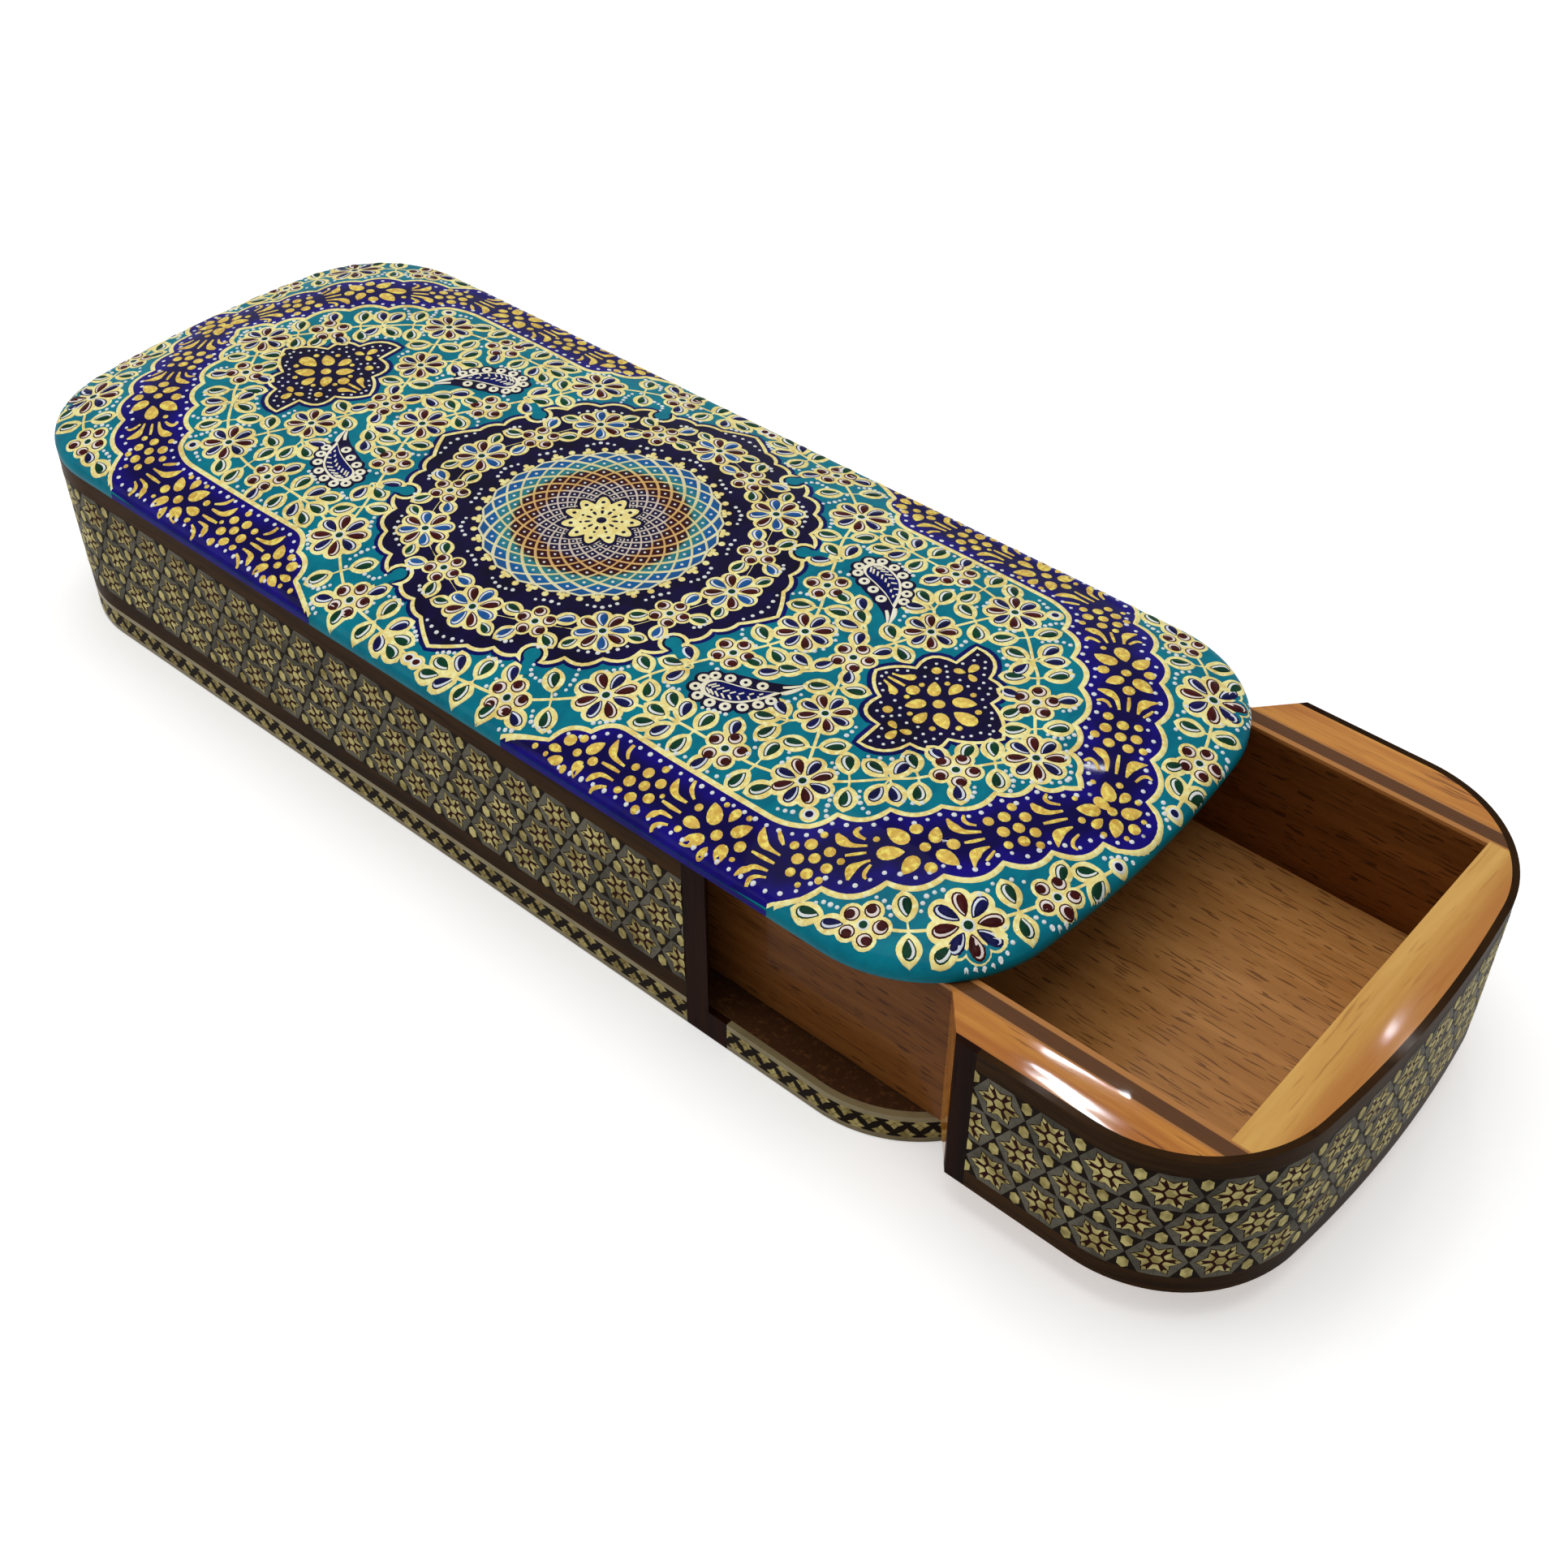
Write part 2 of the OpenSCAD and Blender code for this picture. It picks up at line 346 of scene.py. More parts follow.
def rod_mesh(name, shapes, proud):
    """Flat-topped rods seen end on: outlines in millimetres along and up, standing proud of the sheet."""
    points, faces = [], []
    for shape in shapes:
        middle = centre_of(shape)
        first, count = len(points), len(shape)
        for shrink, out in ((1.0, -ROD_FOOT), (ROD_TOP, proud)):
            points += [((middle[0] + (x - middle[0]) * shrink) * MM, out * MM,
                        (middle[1] + (z - middle[1]) * shrink) * MM) for x, z in shape]
        for step in range(count):
            after = (step + 1) % count
            faces.append((first + step, first + after, first + count + after, first + count + step))
        faces.append(tuple(first + count + step for step in range(count)))
    mesh = bpy.data.meshes.new(name)
    mesh.from_pydata(points, [], faces)
    return put(name, mesh)


def black_wood_face(place):
    fibre = place.noise(60, (1, 1, 9), detail=4)
    return {
        "Base Color": fibre.mix(tint(14, 9, 6), tint(36, 24, 15)),
        "Roughness": 0.3 + fibre * 0.2,
        "Normal": fibre.bump(0.00004),
    }


def brass_face(bright, dull):
    def surface(place):
        rods = place.noise(420, detail=2)
        scratch = place.noise(1800, (1, 1, 3), detail=3)
        tarnish = place.noise(90, detail=3).between(0.45, 0.75)
        metal = rods.between(0.3, 0.7).mix(tint(*dull), tint(*bright))
        return {
            "Base Color": (tarnish * 0.5).mix(metal, tint(96, 74, 30)),
            "Roughness": 0.3 + scratch * 0.25,
            "Normal": scratch.bump(0.00003),
        }
    return surface


LACQUER = {"Coat_Weight": 0.02, "Coat_Roughness": 0.06, "Specular_IOR_Level": 0.01}
black_wood = finish("black_wood", black_wood_face, **LACQUER)
worn_brass = finish("worn_brass", brass_face((184, 168, 108), (122, 106, 60)), Metallic=0.2, **LACQUER)
dress(black_wood, "base_border_rear", "base_border_front")

BORDER_PITCH, BORDER_LOW, BORDER_HIGH = 4.15, 1.1, 5.0
LOBE_UP, FOOT_HALF, FOOT_UP, TREFOIL_PROUD = 0.75, 1.15, 0.6, 0.03
lobe = [(0.0, 0.0), (0.66, 0.58), (1.5, 0.0), (0.66, -0.58)]
trefoils = []
for foot, way in ((BORDER_HIGH, -1), (BORDER_LOW, 1)):
    shift = 0 if way < 0 else BORDER_PITCH / 2
    for turn in (0, way * 90, 180):
        c, s = math.cos(math.radians(turn)), math.sin(math.radians(turn))
        trefoils.append([(shift + x * c - y * s, foot + way * LOBE_UP + x * s + y * c) for x, y in lobe])
    half = way * FOOT_HALF
    trefoils.append([(shift - half, foot), (shift + half, foot), (shift, foot + way * FOOT_UP)])
trefoil_rod = rod_mesh("trefoil_rod", trefoils, TREFOIL_PROUD)
inlay = inlay_tree()
for end, path, line in (("rear", rear_path, rear_line), ("front", front_path, front_line)):
    name, length = "border_brass_" + end, reach(line)
    piece = grown(name, inlay, bpy.data.meshes.new(name), "case", Rod=trefoil_rod, Path=path,
                  Pitch=BORDER_PITCH * MM, Rows=1, Row_step=0.01, Middle=0.0, Phase=length / 2 * MM,
                  Length=length * MM, Finish=worn_brass)


# Base blocks, walls and posts: walnut. The blocks and posts are darker strips that close the
# border and the marquetry off at the front edge of the walls.
def wood_face(dark, light, fleck, stretch, flecks=0.5, lacquered=False):
    """Straight-grained wood: broad stripes, fine fibre and dark pores, bare or thickly lacquered."""
    def surface(place):
        broad = place.noise(14, stretch, detail=3, rough=0.6)
        fibre = place.noise(60, stretch, detail=5, rough=0.65)
        pores = place.noise(130, stretch, detail=2, rough=0.5).between(0.6, 0.72)
        ground = (broad * 0.6 + fibre * 0.4).between(0.32, 0.68).mix(tint(*dark), tint(*light))
        relief = place.noise(13, stretch, detail=1) * 4 if lacquered else fibre - pores * 0.6
        return {
            "Base Color": (pores * flecks).mix(ground, tint(*fleck)),
            "Roughness": 0.03 + fibre * 0.04 if lacquered else 0.3 + fibre * 0.2,
            "Normal": relief.bump(0.00006),
        }
    return surface


LEVEL_GRAIN, LONG_GRAIN, CROSS_GRAIN, UP_GRAIN = (1, 1, 12), (0.6, 9, 9), (9, 0.6, 9), (9, 9, 0.8)
walnut = finish("walnut", wood_face((34, 20, 8), (66, 43, 20), (16, 9, 4), LEVEL_GRAIN), **LACQUER)
dark_walnut = finish("dark_walnut", wood_face((20, 8, 4), (44, 20, 10), (8, 4, 3), UP_GRAIN), **LACQUER)
dress(dark_walnut, "base_block_left", "base_block_right", "body_post_left", "body_post_right")
dress(walnut, "wall_left", "wall_right", "rear_block", "body_band_low", "body_band_high")


# Body marquetry: khatam sheets sawn from bundles of bone, brass and dyed rods, bent round the
# walls in three rows of hexagons with a six-pointed star in each, and black wood between them.
KHATAM_PITCH, KHATAM_MIDDLE, KHATAM_ROW, KHATAM_ROWS = 9.2, 22.25, 7.97, 3


def polar(radius, degrees):
    return (radius * math.cos(math.radians(degrees)), radius * math.sin(math.radians(degrees)))


def part_way(a, b, share):
    return (a[0] + (b[0] - a[0]) * share, a[1] + (b[1] - a[1]) * share)


def shrunk(shape, share):
    middle = centre_of(shape)
    return [part_way(middle, p, share) for p in shape]


HEXAGON, STAR_TIP, STAR_NOTCH, STAR_EYE = 4.58, 3.85, 2.5, 0.98
BEAD, BEAD_WIDE, BEAD_TALL, BEAD_UP = 1.2, 0.84, 1.12, 2.6
frame_rods, star_rods, metal_rods = [], [], [[polar(STAR_EYE, turn) for turn in range(0, 360, 60)]]
for turn in range(0, 360, 60):
    side, after = turn + 30, turn + 60
    tip, notch, tip_after = polar(STAR_TIP, turn), polar(STAR_NOTCH, side), polar(STAR_TIP, after)
    corner, corner_after = polar(HEXAGON, turn), polar(HEXAGON, after)
    halfway = part_way(corner, corner_after, 0.5)
    frame_rods += [[corner, halfway, notch, tip], [halfway, corner_after, tip_after, notch]]
    star_rods.append([polar(STAR_NOTCH, turn - 30), tip, notch, (0.0, 0.0)])
    wedge = [part_way(notch, tip, 0.6), polar(1.3, side - 20), polar(1.12, side), polar(1.3, side + 20),
             part_way(notch, tip_after, 0.6), polar(2.3, side)]
    lozenge = [polar(3.75, turn), polar(3.0, turn + 9), polar(2.5, turn), polar(3.0, turn - 9)]
    metal_rods += [shrunk(wedge, 0.93), shrunk(lozenge, 0.9)]
for way in (-1, 1):
    bead = [polar(BEAD, turn) for turn in range(30, 390, 60)]
    metal_rods.append([(KHATAM_PITCH / 2 + x * BEAD_WIDE, way * BEAD_UP + z * BEAD_TALL) for x, z in bead])


def dyed_rod_face(place):
    fibre = place.noise(500, detail=2)
    return {
        "Base Color": fibre.mix(tint(28, 8, 6), tint(58, 17, 10)),
        "Roughness": 0.3 + fibre * 0.2,
    }


def khatam_bone_face(place):
    cloud = place.noise(150, detail=4)
    return {
        "Base Color": cloud.between(0.25, 0.75).mix(tint(70, 67, 58), tint(114, 109, 96)),
        "Roughness": 0.28 + cloud * 0.2,
        "Normal": place.noise(1600).bump(0.00003),
    }


dyed_rod = finish("dyed_rod", dyed_rod_face, **LACQUER)
khatam_bone = finish("khatam_bone", khatam_bone_face, **LACQUER)
brass = finish("brass", brass_face((206, 192, 128), (142, 128, 74)), Metallic=0.2, **LACQUER)
khatam_kinds = (
    ("bone", rod_mesh("bone_rods", frame_rods, 0.045), khatam_bone),
    ("star", rod_mesh("star_rods", star_rods, 0.05), dyed_rod),
    ("brass", rod_mesh("brass_rods", metal_rods, 0.085), brass),
)


def lay_khatam(prefix, path, line, phase, body):
    for kind, rod, material in khatam_kinds:
        name = prefix + kind
        piece = grown(name, inlay, bpy.data.meshes.new(name), body, Rod=rod, Path=path,
                      Pitch=KHATAM_PITCH * MM, Rows=KHATAM_ROWS, Row_step=KHATAM_ROW * MM,
                      Middle=KHATAM_MIDDLE * MM, Phase=phase * MM, Length=reach(line) * MM, Finish=material)


dress(black_wood, "body_khatam")
lay_khatam("body_khatam_", rear_path, rear_line, reach(rear_line) - POST_BACK, "case")


# Top panel: a crowned board with a rounded edge, primed and painted turquoise on its face and
# edge, bare on its underside, and glued down on the walls so that it hangs over the drawer's end.
EDGE_LOW, EDGE_HIGH, ROUND_WIDTH, ROUND_HEIGHT, CROWN_WIDTH, CROWN_HEIGHT = 38.2, 39.0, 3.6, 2.6, 26.0, 4.0
SMALLEST_CORNER, SIDE_STEPS, ROUND_STEPS, CROWN_STEPS = 0.02, 24, 12, 14


def depth_in(x, y):
    """How far a point of the plan lies inside the outline."""
    x, y = abs(x), abs(y)
    past_end = math.atan2(y, x - END_CENTRE) > END_ANGLE
    if past_end and x > CORNER_X and y > CORNER_Y:
        return CORNER - math.hypot(x - CORNER_X, y - CORNER_Y)
    return min(HALF_WIDTH - y, END_RADIUS - math.hypot(x - END_CENTRE, y))


def crown_at(depth):
    """Height of the panel's face at a depth inside its outline."""
    roundness = math.sqrt(max(0.0, 1 - (1 - min(max(depth, 0) / ROUND_WIDTH, 1)) ** 2))
    rise = min(max(depth - ROUND_WIDTH, 0) / CROWN_WIDTH, 1)
    return EDGE_HIGH + ROUND_HEIGHT * roundness + CROWN_HEIGHT * (1 - (1 - rise) ** 2)


def panel_ring(inset):
    """The panel's plan, drawn in. Past the corners' radius the bowed ends meet the straight sides."""
    end = end_line(min(inset, CORNER - SMALLEST_CORNER))
    if inset > CORNER:
        ends_y = [math.copysign(min(abs(y), HALF_WIDTH - inset), y) for _, y in end]
        end = [(END_CENTRE + math.sqrt((END_RADIUS - inset) ** 2 - y ** 2), y) for y in ends_y]
    near = [(x * end[0][0] / SIDE_STEPS, end[0][1]) for x in range(1 - SIDE_STEPS, SIDE_STEPS)]
    return near + end + [(-x, -y) for x, y in near] + [(-x, -y) for x, y in end]


def ring_faces(rings, around):
    """Quads that join each ring of points to the next one."""
    faces = []
    for first in range(0, (rings - 1) * around, around):
        for step in range(around):
            after = (step + 1) % around
            faces.append((first + step, first + after, first + around + after, first + around + step))
    return faces


insets = [ROUND_WIDTH * (1 - math.cos(math.pi / 2 * s / ROUND_STEPS)) for s in range(ROUND_STEPS + 1)]
insets += [ROUND_WIDTH + CROWN_WIDTH * s / CROWN_STEPS for s in range(1, CROWN_STEPS + 1)]
profile = [(0.0, EDGE_LOW)] + [(inset, crown_at(inset)) for inset in insets]
points = [(x * MM, y * MM, height * MM) for inset, height in profile for x, y in panel_ring(inset)]
around = len(panel_ring(0))
faces = ring_faces(len(profile), around)
faces.append(tuple(len(points) - around + step for step in range(around)))
faces.append(tuple(range(around))[::-1])


def paint_face(colour, deep, leaf_flecks_and_glint=0.0):
    """Thin gouache under lacquer: cloudy brush work, and where it is gilded, flecks of leaf painted brighter
    than the paint as a painted glint of the metal.
    """
    def surface(place):
        cloud = place.noise(120, detail=4)
        stroke = place.noise(700, (1, 0.5, 1), detail=3)
        flecks = place.noise(1100, detail=2).between(0.42, 0.7) * leaf_flecks_and_glint
        ground = (cloud * 0.6 + stroke * 0.4).between(0.3, 0.7).mix(tint(*deep), tint(*colour))
        # Gilded flecks: real leaf flecks, painted lighter so that they also stand for the glint of the metal.
        fleck_glint_colour = tuple(min(252, c * 1.2) for c in colour)
        return {
            "Base Color": flecks.mix(ground, tint(*fleck_glint_colour)),
            "Roughness": 0.35 + stroke * 0.2,
            "Normal": stroke.bump(0.00002),
        }
    return surface


def painted(name, points, faces, paint):
    """A smooth painted piece on the case."""
    mesh = bpy.data.meshes.new(name)
    mesh.from_pydata(points, [], faces)
    mesh.materials.append(paint)
    for polygon in mesh.polygons:
        polygon.use_smooth = True
    piece = put(name, mesh)
    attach(piece, "case")
    return piece


GLOSS = {"Coat_Weight": 0.06, "Coat_Roughness": 0.03, "Specular_IOR_Level": 0.02}
turquoise = finish("turquoise_paint", paint_face((4, 128, 146), (2, 104, 126)), **GLOSS)
panel_back = finish("panel_back", wood_face((84, 54, 30), (120, 82, 48), (54, 32, 18), LONG_GRAIN))
panel = painted("painted_panel", points, faces, turquoise)
panel.data.materials.append(panel_back)
underside = panel.data.polygons[-1]
underside.material_index = 1
underside.use_smooth = False
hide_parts("top_panel")


# Cobalt bands: a broad scalloped band round each end of the painting, laid over the turquoise
# and edged with a raised gold line on both sides.
def on_panel(x, y, lift):
    return (x * MM, y * MM, (crown_at(depth_in(x, y)) + lift) * MM)


def scallop(start, stop, bulge, steps=8):
    """A shallow arc from one cusp to the next. Bulge is its rise to the right of the way it goes."""
    dx, dy = stop[0] - start[0], stop[1] - start[1]
    return [(start[0] + dx * t + dy * bulge * 4 * t * (1 - t),
             start[1] + dy * t - dx * bulge * 4 * t * (1 - t))
            for t in (step / steps for step in range(steps))]


def scallops(cusps, steps=8):
    """Arcs through cusps (x, y, bulge of the arc that follows)."""
    line = []
    for a, b in zip(cusps, cusps[1:]):
        line += scallop(a, b, a[2], steps)
    return line + [cusps[-1][:2]]


band_outer = scallops([(24.5, -48.95, 0), (34, -48.95, 0), (42, -48.95, 0), (50, -48.95, 0), (58, -48.95, 0),
                       (66, -48.95, 0), (75, -48.95, 0), (82.7, -48.8, 0.1), (87.8, -42.2, 0.2),
                       (95.3, -35.9, 0.2), (101.2, -29.5, 0.2), (106, -21.0, 0.2), (109.9, -13.7, 0.2),
                       (114.3, -6.1, 0.2), (119.4, 0, 0)])
band_inner = scallops([(24.5, -48.85, 0), (32.4, -45.1, -0.22), (37.2, -40.2, -0.17), (42, -36.6, 0),
                       (52, -36.8, 0), (64, -36.8, 0), (73, -36.7, 0.07), (79, -34.6, 0.08), (81, -30.3, 0.2),
                       (86.8, -24.5, 0.2), (92.4, -18.8, 0.2), (96.8, -10.8, 0.2), (99.9, -5.0, 0.2),
                       (103.7, -2, 0.05), (105.6, 0, 0)])
BAND_SHARES = [0, 0.006, 0.02, 0.04, 0.07, 0.11, 0.16, 0.21, 0.26, 0.32, 0.42, 0.55, 0.7, 0.85, 1]
BAND_LIFT, BAND_LINE, BAND_LINE_RISE = 0.06, 1.25, 0.18
EDGE_STEPS, SKIRT_OUT, SKIRT_HEIGHTS = 56, 49.03, (EDGE_HIGH + 0.45, EDGE_LOW + 0.05)
points, faces, middles = [], [], []
cobalt_lines = []
for way_x in (1, -1):
    for way_y in (1, -1):
        first = len(points)
        for x, _ in band_outer[:EDGE_STEPS + 1]:
            points += [(way_x * x * MM, way_y * SKIRT_OUT * MM, height * MM) for height in SKIRT_HEIGHTS]
            middles += [0, 0]
        for step in range(EDGE_STEPS):
            a = first + 2 * step
            quad = (a, a + 1, a + 3, a + 2)
            faces.append(quad if way_x * way_y < 0 else quad[::-1])
        first, across = len(points), len(BAND_SHARES)
        for outer, inner in zip(band_outer, band_inner):
            for share in BAND_SHARES:
                x, y = part_way(outer, inner, share)
                points.append(on_panel(way_x * x, way_y * y, BAND_LIFT))
                middles.append(1 - abs(2 * share - 1))
        for step in range(len(band_outer) - 1):
            for side in range(across - 1):
                a = first + step * across + side
                quad = (a, a + across, a + across + 1, a + 1)
                faces.append(quad if way_x * way_y > 0 else quad[::-1])
        for line in (band_outer[EDGE_STEPS:], band_inner):
            cobalt_lines.append([(way_x * x, way_y * y, BAND_LINE) for x, y in line])


def cobalt_face(place):
    """Cobalt over a darker ground that shows through along the middle of the band."""
    plain = paint_face((26, 12, 132), (14, 5, 92))(place)
    middle = place.node("ShaderNodeAttribute", {"attribute_name": "middle"}, {}, "Fac")
    plain["Base Color"] = (middle.between(0.2, 0.75) * 0.8).mix(plain["Base Color"], tint(10, 2, 50))
    return plain


cobalt = finish("cobalt_paint", cobalt_face, **GLOSS)
bands = painted("cobalt_bands", points, faces, cobalt)
bands.data.attributes.new("middle", "FLOAT", "POINT").data.foreach_set("value", middles)
SUNK, RAY_START = 0.03, 0.1


def line_tree():
    """Brush lines laid on the panel: flat strips along edges, raised in their middle, dropped on its face."""
    tree, given = new_tree("brush_lines", Panel="Object", Rise="Float", Paint="Material")
    edges = given["Geometry"]
    curves = edges.node("GeometryNodeMeshToCurve", {}, {"Mesh": edges})
    level = curves.node("GeometryNodeSetCurveNormal", {"mode": "Z_UP"}, {"Curve": curves})
    tip = edges.node("GeometryNodeCurvePrimitiveLine", {}, {"Start": (-0.5, 0, 0), "End": (0.5, 0, 0)})
    row = tip.node("GeometryNodeResampleCurve", {}, {"Curve": tip, "Count": 5})
    factor = row.node("GeometryNodeSplineParameter", {}, {}, "Factor")
    brush = row.stored("across", factor * 2 - 1)
    strip = level.node("GeometryNodeCurveToMesh", {},
                       {"Curve": level, "Profile Curve": brush, "Scale": edges.attribute("width")})
    across = edges.attribute("across")
    rise = given["Rise"] * (1.0 - across * across) - SUNK * MM
    real = strip.node("GeometryNodeRealizeInstances", {}, {"Geometry": strip})
    return end_tree(tree, drop_on_panel(real, given["Panel"], rise, given["Paint"]))


def drop_on_panel(flat, panel_object, rise, paint):
    """The nodes that lay flat geometry on the panel's face, raise it and paint it."""
    spot = flat.node("GeometryNodeInputPosition")
    above = spot.node("ShaderNodeCombineXYZ", {}, {"X": spot.part(0), "Y": spot.part(1), "Z": RAY_START})
    face = flat.node("GeometryNodeObjectInfo", {"transform_space": "RELATIVE"},
                     {"Object": panel_object}, "Geometry")
    ray = {"Target Geometry": face, "Source Position": above, "Ray Direction": (0, 0, -1), "Ray Length": 1.0}
    landed = face.node("GeometryNodeRaycast", {}, ray, "Hit Position")
    normal, hit = (Wire(flat.tree, landed.socket.node.outputs[label]) for label in ("Hit Normal", "Is Hit"))
    place = normal.vector("SCALE", rise, "Scale").vector("ADD", landed)
    kept = flat.node("GeometryNodeDeleteGeometry", {}, {"Geometry": flat, "Selection": 1 - hit})
    laid = kept.node("GeometryNodeSetPosition", {}, {"Geometry": kept, "Position": place})
    upward = laid.node("GeometryNodeInputNormal").part(2)
    under = upward.sum("LESS_THAN", upward, 0.0)
    face_up = laid.node("GeometryNodeFlipFaces", {}, {"Mesh": laid, "Selection": under})
    shaded = face_up.node("GeometryNodeSetShadeSmooth", {}, {"Geometry": face_up})
    return shaded.node("GeometryNodeSetMaterial", {}, {"Geometry": shaded, "Material": paint})


brush_lines = line_tree()


def brushed(name, lines, paint, rise):
    """Brush lines from points (x, y, width) in millimetres. A line that ends where it starts is closed."""
    points, edges, widths = [], [], []
    for line in lines:
        first = len(points)
        closed = math.dist(line[0][:2], line[-1][:2]) < 0.001
        kept = line[:-1] if closed else line
        points += [(x * MM, y * MM, 0) for x, y, _ in kept]
        widths += [width * MM for _, _, width in kept]
        edges += [(first + step, first + step + 1) for step in range(len(kept) - 1)]
        if closed:
            edges.append((len(points) - 1, first))
    mesh = bpy.data.meshes.new(name)
    mesh.from_pydata(points, edges, [])
    mesh.attributes.new("width", "FLOAT", "POINT").data.foreach_set("value", widths)
    piece = grown(name, brush_lines, mesh, "case", Panel=panel, Rise=rise * MM, Paint=paint)
    return piece


gold = finish("gold_paint", paint_face((250, 238, 160), (224, 196, 110), 0.7), Metallic=0.08, **GLOSS)
brushed("cobalt_gold_lines", cobalt_lines, gold, BAND_LINE_RISE)


# Medallion: a navy field with eight lobes in the middle of the panel. It has a gold outline in a
# dark blue shadow line, and a keyhole of turquoise let in between each pair of lobes.
def smooth(points, steps=6):
    """A soft line through given points, with any width they carry eased along it."""
    line = []
    for k in range(len(points) - 1):
        near = [points[min(max(k + j, 0), len(points) - 1)] for j in (-1, 0, 1, 2)]
        for t in (step / steps for step in range(steps)):
            line.append(tuple(0.5 * (2 * b + (c - a) * t + (2 * a - 5 * b + 4 * c - d) * t * t
                                     + (3 * b - a - 3 * c + d) * t ** 3) for a, b, c, d in zip(*near)))
    return line + [tuple(points[-1])]


def wide(line, width, end_width=None):
    """A line of one width, or of a width that changes from end to end."""
    last = max(len(line) - 1, 1)
    return [(x, y, width + ((end_width or width) - width) * k / last) for k, (x, y) in enumerate(line)]


KEYHOLE, KEYHOLE_TURN, KEYHOLE_RADIUS, KEYHOLE_NECK, KEYHOLE_GAP = 37.8, 26.6, 2.35, 4.6, 8
BULB_RADIUS, NECK_HALF = 1.5, 0.8
MEDALLION_TIP = 42.4
half_lobe = [(MEDALLION_TIP, 0, 0.03), (39.1, 8.6, 0.16), (37.8, 15.6, 0.16), (38.3, 22.6, 0),
             (39.4, 30.4, 0.1), (38.1, 35.2, 0.24), (38.8, 45, 0.24)]
other_half = [(radius, 90 - turn, bulge) for (radius, turn, _), (_, _, bulge)
              in zip(half_lobe[::-1], half_lobe[-2::-1])]
lobe_cusps = half_lobe[:-1] + other_half + [(MEDALLION_TIP, 90, 0)]
medallion_edge, medallion_line = [], []
for quarter in range(0, 360, 90):
    for (radius, turn, bulge), (radius_after, turn_after, _) in zip(lobe_cusps, lobe_cusps[1:]):
        arc = scallop(polar(radius, quarter + turn), polar(radius_after, quarter + turn_after), bulge, 6)
        medallion_edge += arc
        if bulge == 0 and abs(turn_after - turn) < KEYHOLE_GAP:
            side = quarter + (KEYHOLE_TURN if turn < 45 else 90 - KEYHOLE_TURN)
            hole = polar(KEYHOLE, side)
            ring = [polar(KEYHOLE_RADIUS, side - 50 - 260 * k / 12) for k in range(13)]
            arc = [arc[0]] + [(hole[0] + x, hole[1] + y) for x, y in ring]
        medallion_line += arc


def rayed(name, edge, centre, shares, lift, paint):
    """A painted field from its edge in to a share of the way to its centre."""
    points = [on_panel(*part_way(centre, p, share), lift) for share in shares for p in edge]
    faces = ring_faces(len(shares), len(edge))
    faces.append(tuple(range(len(points) - len(edge), len(points))))
    return painted(name, points, faces, paint)


navy = finish("navy_paint", paint_face((20, 10, 62), (7, 4, 24)), **GLOSS)
shadow_blue = finish("shadow_blue_paint", paint_face((10, 18, 104), (4, 8, 66)), **GLOSS)
FIELD_LIFT, KEYHOLE_LIFT, SHADOW_WIDTH, SHADOW_RISE, OUTLINE_RISE = 0.04, 0.09, 3.2, 0.075, 0.13
medallion_outline = medallion_line + medallion_line[:1]
medallion_shares = [1, 0.93, 0.86, 0.79, 0.72, 0.65, 0.58, 0.5]
rayed("medallion_field", medallion_edge, (0, 0), medallion_shares, FIELD_LIFT, navy)
brushed("medallion_shadow_line", [wide(medallion_outline, SHADOW_WIDTH)], shadow_blue, SHADOW_RISE)
brushed("medallion_gold_line", [wide(medallion_outline, 1.15)], gold, OUTLINE_RISE)
for quarter in range(0, 360, 90):
    for side in (quarter + KEYHOLE_TURN, quarter + 90 - KEYHOLE_TURN):
        hole, neck = polar(KEYHOLE, side), polar(KEYHOLE + KEYHOLE_NECK, side)
        bulb = [polar(BULB_RADIUS, side + 40 + 280 * k / 14) for k in range(15)]
        throat = [polar(NECK_HALF, side - 90), polar(NECK_HALF, side + 90)]
        edge = [(hole[0] + x, hole[1] + y) for x, y in bulb] + [(neck[0] + x, neck[1] + y) for x, y in throat]
        rayed(f"keyhole_{round(side)}", edge, part_way(hole, neck, 0.3), [1, 0.5], KEYHOLE_LIFT, turquoise)


# Lattice disc: two sets of gold spirals cross over rings of blue, teal, maroon and violet paint, with
# a white dot in each cell. A gilded rosette closes the middle and gold finials stand round the rim.
SPIRALS, LATTICE_RIM, LATTICE_TIPS = 23, 21.5, 22.2
LATTICE_RADII = [LATTICE_RIM, 19.95, 18.4, 16.95, 15.55, 14.1, 12.65, 11.3, 10.0, 8.75, 7.75, 6.9, 6.1]
LATTICE_ROWS = len(LATTICE_RADII) - 1
LATTICE_LIFT, RIM_LINE, SPIRAL_END, SPIRAL_RISE, SPIRAL_STEPS = 0.06, 0.6, 0.4, 0.2, 52


def lattice_row(row):
    """Radius of a row of crossings. The rows close up towards the middle."""
    below = min(int(row), LATTICE_ROWS - 1)
    return LATTICE_RADII[below] + (LATTICE_RADII[below + 1] - LATTICE_RADII[below]) * (row - below)


def ring_face(*stops):
    """Paint in rings round the middle of the panel, from shares of the lattice's radius and their colours."""
    def surface(place):
        level = place.vector("MULTIPLY", (1, 1, 0))
        far = level.node("ShaderNodeVectorMath", {"operation": "LENGTH"}, {0: level}, "Value")
        cloud = place.noise(260, detail=3)
        share = far / (LATTICE_RIM * MM) + (cloud - 0.5) * 0.05
        tints = [(at, tint(*colour)) for at, colour in stops]
        rings = share.node("ShaderNodeValToRGB", {"stops": tints}, {"Fac": share})
        return {"Base Color": (cloud * 0.3).mix(rings, tint(12, 16, 50)), "Roughness": 0.35 + cloud * 0.2}
    return surface


